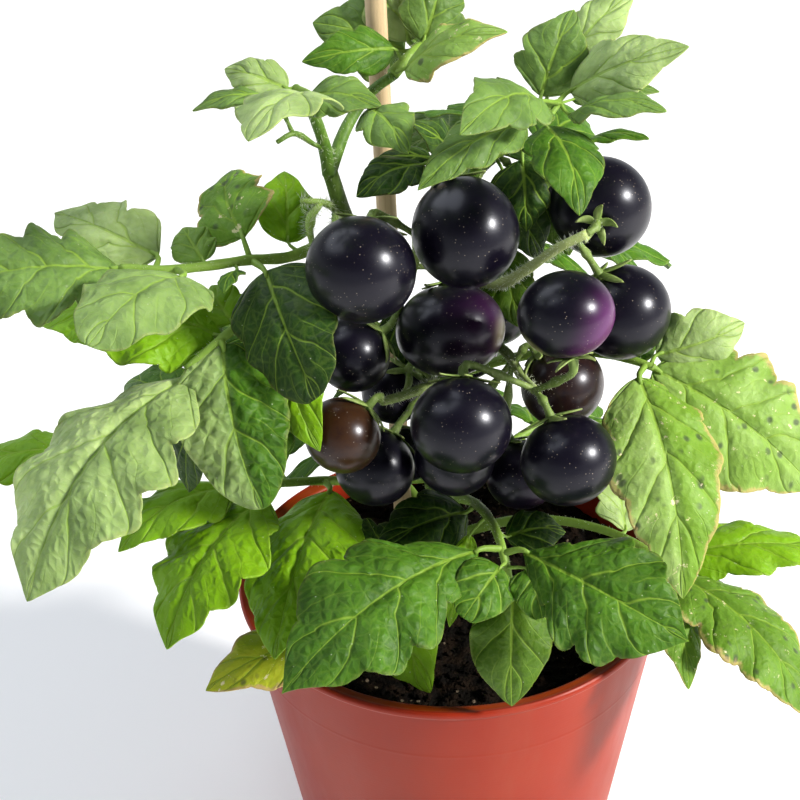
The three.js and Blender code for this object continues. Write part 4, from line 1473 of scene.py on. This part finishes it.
@dataclass(frozen=True)
class Stem:
    """The main stem with its forks, a side branch, an old bare flower stalk and a young shoot."""

    node: str = "main_stem"
    main: tuple[Point, ...] = (
        (-2, 2, 70), (-2, 2, 112), (-4, 2, 150), (-10, 1, 190), (-18, -2, 224), (-28, -8, 251),
        (-32, -15, 270),
    )
    left_fork: tuple[Point, ...] = ((-32, -15, 269), (-33, -22, 282), (-36, -36, 299))
    right_fork: tuple[Point, ...] = ((-32, -15, 269), (-27, -8, 279), (-20, 0, 286), (-13, 3, 290))
    side_branch: tuple[Point, ...] = (
        (-9, 1, 184), (-1, 4, 215), (5, 3, 245), (10, -6, 270), (19, -20, 286), (25, -30, 292),
    )
    spent_truss: tuple[Point, ...] = ((-31, -17, 276), (-35, -24, 281), (-40, -31, 287), (-44, -34, 286))
    spent_twig: tuple[Point, ...] = ((-40, -31, 287), (-42, -32, 293))
    young_shoots: tuple[tuple[Point, ...], ...] = (
        ((-27, -8, 250), (-33, -13, 259), (-40, -17, 262)),
        ((-35, -14, 260), (-38, -20, 257), (-37, -25, 251)),
        ((-31, -12, 256), (-31, -19, 254), (-30, -24, 248)),
    )
    stem_hairs: tuple[float, float] = (4.0, 1.5)
    shoot_hairs: tuple[float, float] = (14.0, 3.0)

    def build(self, material: bpy.types.Material) -> None:
        """Builds and dresses the stem with its hairs.

        Args:
            material: the stem's material.
        """
        limbs = (
            (self.main, (4.3, 4.0, 3.4, 2.7, 2.1), 22, (0.1, 0.1, 0.2)),
            (self.left_fork, (2.0, 1.6, 1.4), 14, (0.05, 0.0, 0.0)),
            (self.right_fork, (2.0, 1.6, 1.4), 14, (0.05, 0.0, 0.0)),
            (self.side_branch, (2.5, 2.2, 1.8, 1.5), 16, (0.2, 0.0, 0.0)),
            (self.spent_truss, (0.9, 0.6, 0.85, 0.6), 10, (-0.2, 0.1, 0.1)),
            (self.spent_twig, (0.7, 0.5, 0.75), 8, (-0.2, 0.1, 0.1)),
            *((points, (1.1, 1.2, 0.7), 10, (0.9, 0.0, 0.0)) for points in self.young_shoots),
        )
        patches: list[Patch] = []
        for i, (points, radii, columns, detail) in enumerate(limbs):
            patches.append(tube(list(points), radii, columns, rough=0.03, seed=i, detail=detail))
            per_mm, length = self.shoot_hairs if points in self.young_shoots else self.stem_hairs
            patches += hairs(list(points), radii, per_mm, length, 40 + i)
        dress(weave(self.node + "_limbs", patches), "stem", [material], self.node)


# ---------------------------------------------------------------- fruits and trusses


@dataclass(frozen=True)
class Fruit:
    """One fruit: its centre, diameter, the way its crown points, and how its colour departs from black."""

    at: Point
    size: float
    crown: Point
    height: float = 0.95
    violet: float = 0.0
    violet_way: Point = (0.8, -0.5, 0.3)
    brown: float = 0.0
    unripe: float = 0.0
    unripe_way: Point = (0.3, -0.8, -0.4)
    sepal_reach: float = 9.2
    sepal_curl: float = 1.0


@dataclass(frozen=True)
class FruitBunches:
    """All fruits, and the stalks with sepals that carry them."""

    columns: int = 56
    rows: int = 36
    dimple: float = 0.09
    sepals: int = 5
    sepal_width: float = 2.3
    sepal_thickness: float = 0.4
    pedicel_rise: float = 3.5

    @property
    def pale_trusses(self) -> dict[str, float]:
        """The paleness of the trusses that grow in the light."""
        return {"truss_right": 0.85}

    def fruits(self) -> dict[str, Fruit]:
        """The fruits, the same as the part's solids.

        Returns:
            Each fruit by its solid's name.
        """
        return {
            "fruit_01": Fruit((-24, -44, 254), 29, (0.2, 0.8, 0.55)),
            "fruit_02": Fruit((4, -30, 257), 28.5, (-0.25, 0.6, 0.75), 1.06),
            "fruit_03": Fruit((0, -20, 222), 31, (-0.1, 0.5, 0.85), 0.86, violet=0.35, unripe=0.6,
                              unripe_way=(0.9, -0.42, 0.1)),
            "fruit_04": Fruit((43, -8, 253), 28.5, (-0.2, -0.96, 0.1), sepal_reach=5.5, sepal_curl=2.4),
            "fruit_05": Fruit((48, -24, 228), 27.5, (-0.5, 0.1, 0.85)),
            "fruit_06": Fruit((29, -50, 242), 25.5, (0.12, -0.35, -0.93), 0.9, violet=1.0,
                              violet_way=(0.9, -0.3, -0.35), unripe=1.0, unripe_way=(-0.72, -0.25, -0.65),
                              sepal_reach=7, sepal_curl=1.6),
            "fruit_07": Fruit((31, -31, 209), 24, (-0.6, 0.3, 0.7), brown=0.6),
            "fruit_08": Fruit((30, -57, 201), 26, (-0.35, 0.48, 0.8)),
            "fruit_09": Fruit((1, -58, 214), 27, (0.1, 0.65, 0.75)),
            "fruit_10": Fruit((0, -36, 189), 23, (0.4, 0.6, 0.7), brown=0.2),
            "fruit_11": Fruit((-23, -32, 184), 23.5, (0.5, 0.6, 0.6)),
            "fruit_12": Fruit((-31, -50, 207), 21.5, (0.69, 0.37, 0.62), brown=0.95),
            "fruit_13": Fruit((-28, -25, 218), 22, (0.8, 0.2, 0.55)),
            "fruit_14": Fruit((-17, -12, 197), 19, (0.5, -0.1, 0.85), brown=0.3),
            "fruit_15": Fruit((24, 9, 250), 17.5, (-0.5, 0, 0.85)),
            "fruit_16": Fruit((20, -31, 179), 21.5, (-0.3, 0.5, 0.8), violet=0.35, unripe=0.35),
            "fruit_17": Fruit((-14, -14, 176), 17, (0.4, 0.6, 0.7)),
            "fruit_18": Fruit((16, 22, 206), 24, (-0.85, 0.2, 0.5)),
            "fruit_19": Fruit((-14, 27, 190), 22, (0.4, -0.3, 0.85)),
            "fruit_20": Fruit((8, 34, 184), 19, (-0.3, -0.35, 0.88), violet=0.3),
        }

    def trusses(self) -> dict[str, tuple[tuple[Point, ...], tuple[str, ...]]]:
        """Each truss's stalk and its fruits, the same as the part's solids.

        Returns:
            Each truss's stalk and its fruits' names, by its solid's name.
        """
        return {
            "truss_top": (((-17, -2, 222), (-12, -9, 232), (-9, -14, 243), (-9, -20, 252)),
                          ("fruit_01", "fruit_02", "fruit_03", "fruit_13")),
            "truss_right": (((2, 4, 228), (14, -8, 230), (21, -20, 240), (30, -26, 250), (37, -27, 254)),
                            ("fruit_04", "fruit_05")),
            "truss_small": (((6, 1, 252), (10, 6, 259), (15, 9, 262)), ("fruit_15",)),
            "truss_middle": (((-3, 3, 208), (10, -8, 212), (16, -20, 214), (19, -33, 214), (22, -43, 215)),
                             ("fruit_06", "fruit_07", "fruit_08", "fruit_09", "fruit_10", "fruit_16")),
            "truss_left": (((-9, 1, 188), (-5, -12, 200), (-7, -24, 206), (-14, -32, 208), (-20, -38, 210)),
                           ("fruit_11", "fruit_12", "fruit_14", "fruit_17")),
            "truss_back": (((-10, 1, 190), (-5, 12, 200), (1, 20, 203), (3, 25, 202)),
                           ("fruit_18", "fruit_19", "fruit_20")),
        }

    @staticmethod
    def turned(crown: Point) -> np.ndarray:
        """The turn that brings a fruit's upright axis to its crown's direction, as a 3 by 3 array."""
        turn = Vector((0, 0, 1)).rotation_difference(Vector(crown).normalized()).to_matrix()
        return np.array(turn)

    def fruit_patch(self, fruit: Fruit, seed: int) -> Patch:
        """Bends a net to a fruit, with a dimple at its crown and a small scar at its other end.

        Args:
            fruit: the fruit.
            seed: picks its unevenness.

        Returns:
            The patch.
        """
        turn = self.turned(fruit.crown)
        radius = fruit.size / 2

        def bend(x: np.ndarray, u: np.ndarray) -> tuple[np.ndarray, dict[str, np.ndarray]]:
            """Wraps the net round the fruit.

            Args:
                x: each point's place across the net, -1 to 1.
                u: its place along the net, 0 to 1.

            Returns:
                The points' places in millimetres, and their details.
            """
            angle = x * math.pi
            fall = u * math.pi
            ring, rise = np.sin(math.pi - fall), np.cos(math.pi - fall)
            shoulder = np.exp(-(((ring - 0.45) / 0.35) ** 2)) * (rise > 0)
            rib = 0.012 * np.cos(5 * angle + seed) * shoulder
            dimple = self.dimple * np.exp(-((ring / 0.22) ** 2)) * (rise > 0)
            scar = 0.02 * np.exp(-((ring / 0.06) ** 2)) * (rise < 0)
            wide = ring * (1 + rib + 0.008 * np.sin(2 * angle + seed))
            tall = rise * fruit.height - dimple + scar
            local = np.stack([wide * np.cos(angle), wide * np.sin(angle), tall], axis=1)
            spots = np.array(fruit.at) + radius * local @ turn.T
            way = unit(spots - np.array(fruit.at))
            toward_flush = way @ unit(np.array(fruit.violet_way))
            flush = fruit.violet * np.clip(0.15 + 0.85 * toward_flush, 0, 1) ** 1.5
            green = fruit.unripe * np.clip((way @ unit(np.array(fruit.unripe_way)) - 0.8) * 5, 0, 1)
            return spots, {"fruit_tone": np.stack([flush, np.full_like(u, fruit.brown), green], axis=1)}

        return Patch(self.columns, self.rows, bend)

    def sepal_patches(self, fruit: Fruit, seed: int) -> list[Patch]:
        """The narrow sepals that spread from a fruit's crown and curl up at their tips.

        Args:
            fruit: the fruit that they lie on.
            seed: picks their lengths and bends.

        Returns:
            One patch for each sepal.
        """
        turn = self.turned(fruit.crown)
        radius = fruit.size / 2
        chance = random.Random(seed)
        patches = []
        for i in range(self.sepals):
            heading = 2 * math.pi * (i + chance.uniform(-0.12, 0.12)) / self.sepals
            reach = min(fruit.sepal_reach, radius * 0.85) * chance.uniform(0.85, 1.1)
            curl = fruit.sepal_curl * chance.uniform(0.8, 2.2)
            swing = chance.uniform(-0.35, 0.35)
            patches.append(self.sepal(fruit, turn, heading, reach, curl, swing))
        return patches

    def sepal(self, fruit: Fruit, turn: np.ndarray, heading: float, reach: float, curl: float,
              swing: float) -> Patch:
        """One sepal.

        Args:
            fruit: the fruit that it lies on.
            turn: the turn to the fruit's crown.
            heading: its direction round the crown.
            reach: its length.
            curl: how far its tip stands up.
            swing: how far its tip bends sideways.

        Returns:
            The patch.
        """
        radius = fruit.size / 2

        def bend(x: np.ndarray, u: np.ndarray) -> tuple[np.ndarray, dict[str, np.ndarray]]:
            """Draws the net out to a narrow pointed blade over the shoulder.

            Args:
                x: each point's place across the net, -1 to 1.
                u: its place along the net, 0 to 1.

            Returns:
                The points' places in millimetres, and their details.
            """
            half = self.sepal_width / 2 * np.sin(math.pi * np.clip(0.18 + 0.82 * u, 0, 1)) ** 0.75
            distance = 0.6 + reach * u
            angle = heading + swing * u**2
            fall = radius * fruit.height * (1 - np.sqrt(np.clip(1 - (distance / radius) ** 2, 0.05, 1)))
            height = radius * fruit.height + 0.45 - 0.8 * fall + curl * u**3 - 0.25 * np.abs(x) * half
            local = np.stack([
                distance * np.cos(angle) - x * half * np.sin(angle),
                distance * np.sin(angle) + x * half * np.cos(angle),
                height,
            ], axis=1)
            detail = np.stack([0.1 + 0.35 * u, 0.0 * u, 0.4 * (u > 0.85)], axis=1)
            return np.array(fruit.at) + local @ turn.T, {"stalk_tone": detail}

        return Patch(4, 12, bend)

    def pedicel(self, fruit: Fruit, stalk: list[Point], seed: int) -> list[Patch]:
        """The short stalk of one fruit, with its knuckle, and its hairs.

        Args:
            fruit: the fruit.
            stalk: the points of the truss's stalk.
            seed: picks the unevenness.

        Returns:
            The patches of the stalk and its hairs.
        """
        crown = unit(np.array(fruit.crown, float))
        seat = fruit.size / 2 * fruit.height
        knob = np.array(fruit.at) + crown * (seat - 0.9)
        rise = np.array(fruit.at) + crown * (seat + self.pedicel_rise)
        root = nearest_on(stalk, rise)
        points = [tuple(root), tuple(root * 0.45 + rise * 0.55 + crown * 0.6), tuple(rise), tuple(knob)]
        radii = (0.95, 0.85, 0.9, 1.5, 1.0, 1.05, 1.25, 1.8)
        detail = (0.2, 0.0, 0.0)
        stalk_patch = tube(points, radii, 10, 16, seed=seed, detail=detail)
        return [stalk_patch, *hairs(points, (1.1, 1.2), 3.0, 0.9, seed)]

    def build(self, skin: bpy.types.Material, stalk_material: bpy.types.Material) -> None:
        """Builds and dresses the fruits, the sepals and the stalks.

        Args:
            skin: the fruits' material.
            stalk_material: the material of the stalks and the sepals.
        """
        fruits = self.fruits()
        for i, (name, fruit) in enumerate(fruits.items()):
            dress(weave(name + "_skin", [self.fruit_patch(fruit, i)]), "fruit", [skin], name)
        for i, (name, (stalk, carried)) in enumerate(self.trusses().items()):
            points = list(stalk)
            pale = self.pale_trusses.get(name, 0.4)
            patches = [tube(points, (1.8, 1.5, 1.25), 14, rough=0.05, seed=i, detail=(pale, 0.0, 0.0))]
            patches += hairs(points, (1.7, 1.3), 18.0 * pale, 1.7, 90 + i)
            sepals: list[Patch] = []
            for j, key in enumerate(carried):
                patches += self.pedicel(fruits[key], points, 10 * i + j)
                sepals += self.sepal_patches(fruits[key], 10 * i + j)
            dress(weave(name + "_stalks", patches), "truss", [stalk_material], name)
            crowns = weave(name + "_sepals", sepals)
            thicken(crowns, self.sepal_thickness, 0.0)
            dress(crowns, "truss", [stalk_material], name)


# ---------------------------------------------------------------- pot, compost and cane


@dataclass(frozen=True)
class Pot:
    """The round pot with its stepped rim, moulded ring and drain holes."""

    node: str = "pot"
    height: float = 122.0
    rim_radius: float = 70.0
    rim_height: float = 2.6
    rim_ledge: float = 0.9
    rim_width: float = 5.0
    base_radius: float = 51.0
    wall: float = 1.7
    base_thickness: float = 2.5
    foot: float = 2.0
    ring_height: float = 101.5
    ring_depth: float = 0.06
    steps: int = 128
    drain_holes: int = 6
    drain_radius: float = 4.0
    drain_circle: float = 33.0
    drill_length: float = 12.0
    crease: float = 38.0

    def wall_radius(self, height: float) -> float:
        """The wall's outer radius at a height."""
        top = self.rim_radius - self.rim_ledge
        return self.base_radius + (top - self.base_radius) * height / (self.height - self.rim_height)

    def profile(self) -> list[tuple[float, float]]:
        """Lists the wall's points, from the underside's middle round to the inside's.

        Returns:
            Radius and height of each point.
        """
        rim_foot = self.height - self.rim_height
        ring, depth = self.ring_height, self.ring_depth
        points = [
            (0.0, 0.0), (self.base_radius - self.foot - 0.4, 0.0), (self.base_radius - self.foot + 0.4, 0.3),
            (self.wall_radius(self.foot) - 0.15, self.foot - 0.4),
            (self.wall_radius(self.foot + 0.5), self.foot + 0.5),
            (self.wall_radius(ring - 0.7), ring - 0.7), (self.wall_radius(ring) + depth, ring - 0.2),
            (self.wall_radius(ring) + depth, ring + 0.2), (self.wall_radius(ring + 0.7), ring + 0.7),
            (self.wall_radius(rim_foot - 0.5), rim_foot - 0.5), (self.wall_radius(rim_foot) + 0.15, rim_foot),
            (self.rim_radius - 0.25, rim_foot + 0.35), (self.rim_radius, rim_foot + 0.9),
            (self.rim_radius, self.height - 0.9), (self.rim_radius - 0.2, self.height - 0.35),
            (self.rim_radius - 0.7, self.height), (self.rim_radius - 1.4, self.height - 0.1),
            (self.rim_radius - 1.9, self.height - 0.4), (self.rim_radius - 4.0, self.height - 0.7),
            (self.rim_radius - self.rim_width + 0.3, self.height - 1.0),
            (self.rim_radius - self.rim_width, self.height - 1.5),
        ]
        inner_top = self.height - self.rim_height - 1.0
        points += [
            (self.wall_radius(inner_top) - self.wall, inner_top),
            (self.wall_radius(self.base_thickness) - self.wall, self.base_thickness),
            (0.0, self.base_thickness),
        ]
        return self.held(points)

    @staticmethod
    def held(points: list[tuple[float, float]], near: float = 0.4) -> list[tuple[float, float]]:
        """Adds a point close to each end of every long stretch, so that it stays plain when it is shaded.

        Args:
            points: radius and height of each point.
            near: how close the new points are.

        Returns:
            The points with the new ones between them.
        """
        closer = points[:1]
        for start, end in zip(points, points[1:]):
            span = math.dist(start, end)
            if span > 4 * near:
                for share in (near / span, 1 - near / span):
                    closer.append(tuple(a + (b - a) * share for a, b in zip(start, end)))
            closer.append(end)
        return closer

    def build(self) -> None:
        """Spins the wall, drills the bottom and dresses the pot."""
        shell = bmesh.new()
        ring = [shell.verts.new((radius * MM, 0.0, z * MM)) for radius, z in self.profile()]
        edges = [shell.edges.new(pair) for pair in zip(ring, ring[1:])]
        bmesh.ops.spin(shell, geom=ring + edges, cent=(0, 0, 0), axis=(0, 0, 1), angle=2 * math.pi,
                       steps=self.steps, use_merge=True, use_duplicate=False)
        bmesh.ops.remove_doubles(shell, verts=shell.verts, dist=1e-6)
        bmesh.ops.recalc_face_normals(shell, faces=shell.faces)
        piece = from_net(self.node + "_shell", shell)
        drill = bmesh.new()
        for i in range(self.drain_holes):
            angle = 2 * math.pi * i / self.drain_holes
            reach = self.drain_circle * MM
            spot = (reach * math.cos(angle), reach * math.sin(angle), 0.001)
            wide = self.drain_radius * MM
            bmesh.ops.create_cone(drill, cap_ends=True, segments=32, radius1=wide, radius2=wide,
                                  depth=self.drill_length * MM, matrix=Matrix.Translation(spot))
        cutter = from_net("drill", drill)
        cut = piece.modifiers.new("drain", "BOOLEAN")
        cut.object = cutter
        cut.operation = "DIFFERENCE"
        cut.solver = "EXACT"
        seen = piece.evaluated_get(bpy.context.evaluated_depsgraph_get())
        drilled = bpy.data.meshes.new_from_object(seen)
        piece.modifiers.clear()
        piece.data = drilled
        bpy.data.objects.remove(cutter)
        drilled.polygons.foreach_set("use_smooth", [True] * len(drilled.polygons))
        drilled.set_sharp_from_angle(angle=math.radians(self.crease))
        dress(piece, "pot", [PotFinish("pot_plastic").make()], self.node)


@dataclass(frozen=True)
class Compost:
    """The potting compost: an uneven crust with crumbs on it."""

    node: str = "soil"
    level: float = 111.5
    crown: float = 2.4
    radius: float = 65.8
    depth: float = 16.0
    taper: float = 0.152
    crumbs: int = 2600
    crust_end: float = 0.87
    rim_at: float = 0.86
    bottom_share: float = 0.1

    def height(self, x: np.ndarray, y: np.ndarray) -> np.ndarray:
        """The crust's height at some places.

        Args:
            x: the places' first coordinates.
            y: their second coordinates.

        Returns:
            Their heights.
        """
        chance = random.Random(5)
        share = np.hypot(x, y) / self.radius
        height = self.level - 0.4 + self.crown * (1 - share**2)
        for size, wave in ((1.0, 21.0), (0.7, 9.0), (0.5, 4.3), (0.4, 2.3)):
            for _ in range(4):
                heading, start = chance.uniform(0, 2 * math.pi), chance.uniform(0, 2 * math.pi)
                run = (x * math.cos(heading) + y * math.sin(heading)) * 2 * math.pi / wave
                height = height + 0.3 * size * np.sin(run + start)
        return height

    def bend(self, x: np.ndarray, u: np.ndarray) -> tuple[np.ndarray, dict[str, np.ndarray]]:
        """Bends the net to a crust, a skirt that narrows as the pot does, and a flat bottom.

        Args:
            x: each point's place across the net, -1 to 1.
            u: its place along the net, 0 to 1.

        Returns:
            The points' places in millimetres, and their details.
        """
        angle = x * math.pi
        low = self.radius - self.taper * (self.depth + 1)
        top = u < self.crust_end
        crust = self.radius * np.minimum(1, u / self.rim_at)
        ring = np.where(top, crust, low * np.clip((1 - u) / self.bottom_share, 0, 1))
        px, py = ring * np.cos(angle), ring * np.sin(angle)
        z = np.where(top, self.height(px, py), self.level - self.depth)
        return np.stack([px, py, z], axis=1), {}

    def build(self) -> None:
        """Builds and dresses the crust and its crumbs."""
        finish = CompostFinish("compost").make()
        dress(weave(self.node + "_crust", [Patch(200, 120, self.bend)]), "soil", [finish], self.node)
        chance = random.Random(11)
        net = bmesh.new()
        for _ in range(self.crumbs):
            heading, reach = chance.uniform(0, 2 * math.pi), (self.radius - 2.5) * math.sqrt(chance.random())
            x, y = reach * math.cos(heading), reach * math.sin(heading)
            size = 0.45 + 1.5 * chance.random() ** 3
            z = float(self.height(np.array([x]), np.array([y]))[0]) + 0.25 * size
            shape = (Matrix.Translation((x * MM, y * MM, z * MM))
                     @ Matrix.Rotation(chance.uniform(0, 6.28), 4, (chance.random(), chance.random(), 0.5))
                     @ Matrix.Diagonal((1.0, chance.uniform(0.5, 1), chance.uniform(0.4, 0.8), 1.0)))
            bmesh.ops.create_icosphere(net, subdivisions=1, radius=size * MM, matrix=shape)
        dress(from_net(self.node + "_crumbs", net), "soil", [finish], self.node)


@dataclass(frozen=True)
class Cane:
    """The thin wooden cane beside the stem."""

    node: str = "cane"
    radius: float = 3.0
    x: float = -15.0
    y: float = 11.0
    foot: float = 72.0
    top: float = 344.0
    lean: float = 4.0
    soil_level: float = 111.5

    def build(self) -> None:
        """Builds and dresses the cane."""
        tilt = self.lean / (self.top - self.foot)
        points = [(self.x - tilt * max(0.0, z - self.soil_level), self.y, z) for z in
                  (self.foot, self.soil_level, 190.0, 270.0, self.top - 0.6)]
        patch = tube(points, (self.radius * 0.99,), 28, 120, rough=0.008)
        dress(weave(self.node + "_rod", [patch]), "cane", [CaneFinish("cane_wood").make()], self.node)


# ---------------------------------------------------------------- camera, light and floor


@dataclass(frozen=True)
class Studio:
    """The camera at the photograph's angle, the soft lights and the pale floor."""

    look_at: Point = (-15.0, 0.0, 187.0)
    distance: float = 470.0
    pitch: float = 31.5
    roll: float = -2.0
    focal_pixels: float = 1530.0
    picture_pixels: float = 800.0
    sensor_width: float = 36.0
    lamp_distance: float = 2.2
    key_way: Point = (0.80, -0.34, 0.52)
    key_size: float = 0.34
    key_power: float = 112.0
    key_colour: Colour = (1.0, 0.97, 0.91)
    sky_way: Point = (-0.55, 0.2, 1.0)
    sky_size: float = 2.4
    sky_power: float = 48.0
    sky_colour: Colour = (0.90, 0.94, 1.0)
    floor_radius: float = 1.8
    floor_sides: int = 128
    horizon: Colour = (0.74, 0.77, 0.80)
    zenith: Colour = (0.13, 0.14, 0.15)
    darkening: tuple[float, float] = (0.12, 0.45)

    def camera(self) -> None:
        """Places the camera and makes it the scene's own."""
        pitch, roll = math.radians(self.pitch), math.radians(self.roll)
        back = Vector((0.0, -math.cos(pitch), math.sin(pitch)))
        level = Vector((1.0, 0.0, 0.0))
        upright = level.cross(-back)
        right = math.cos(roll) * level + math.sin(roll) * upright
        up = -math.sin(roll) * level + math.cos(roll) * upright
        place = (Vector(self.look_at) + back * self.distance) * MM
        lens = bpy.data.cameras.new("camera")
        lens.sensor_width = self.sensor_width
        lens.lens = self.focal_pixels / self.picture_pixels * self.sensor_width
        camera = in_scene("camera", lens)
        camera.matrix_world = Matrix.Translation(place) @ Matrix((right, up, back)).transposed().to_4x4()
        bpy.context.scene.camera = camera

    def softbox(self, name: str, way: Point, size: float, power: float, colour: Colour) -> None:
        """Hangs a round soft light that faces the plant.

        Args:
            name: the light's name.
            way: the direction that it hangs in.
            size: its width in metres.
            power: its power in watts.
            colour: its colour.
        """
        light = bpy.data.lights.new(name, "AREA")
        light.shape = "DISK"
        light.size = size
        light.energy = power
        light.color = colour
        lamp = in_scene(name, light)
        out = Vector(way).normalized()
        place = Matrix.Translation(Vector(self.look_at) * MM + out * self.lamp_distance)
        lamp.matrix_world = place @ out.to_track_quat("Z", "Y").to_matrix().to_4x4()

    def build(self) -> None:
        """Sets up the camera, the lights, the surroundings' light and the floor."""
        self.camera()
        self.softbox("key", self.key_way, self.key_size, self.key_power, self.key_colour)
        self.softbox("sky", self.sky_way, self.sky_size, self.sky_power, self.sky_colour)
        world = bpy.data.worlds.new("surroundings")
        world.use_nodes = True
        nodes = Nodes(world.node_tree)
        _, _, height = nodes.split(nodes.add("ShaderNodeTexCoord").outputs["Generated"])
        back = world.node_tree.nodes["Background"]
        colour = nodes.mix(nodes.band(height, *self.darkening), self.horizon, self.zenith)
        nodes.feed(back.inputs["Color"], colour)
        bpy.context.scene.world = world
        bpy.context.scene.view_settings.view_transform = "Standard"
        net = bmesh.new()
        bmesh.ops.create_circle(net, cap_ends=True, segments=self.floor_sides, radius=self.floor_radius)
        floor = from_net("floor", net)
        floor.data.materials.append(FloorFinish("floor_surface").make())


def main() -> None:
    """Builds the whole scene in order."""
    logging.basicConfig(level=logging.INFO, format="%(message)s")
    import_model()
    Studio().build()
    Pot().build()
    Compost().build()
    Cane().build()
    green = StalkFinish("green_stalk").make()
    Stem().build(green)
    FruitBunches().build(
        FruitFinish("fruit_skin").make(),
        StalkFinish("truss_stalk", green=(0.075, 0.140, 0.018), pale=(0.360, 0.430, 0.160)).make(),
    )
    Foliage().build(StalkFinish("leaf_stalk", green=(0.075, 0.165, 0.008), pale=(0.230, 0.350, 0.060)).make())
    bpy.context.view_layer.update()
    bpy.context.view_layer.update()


if __name__ == "__main__":
    main()
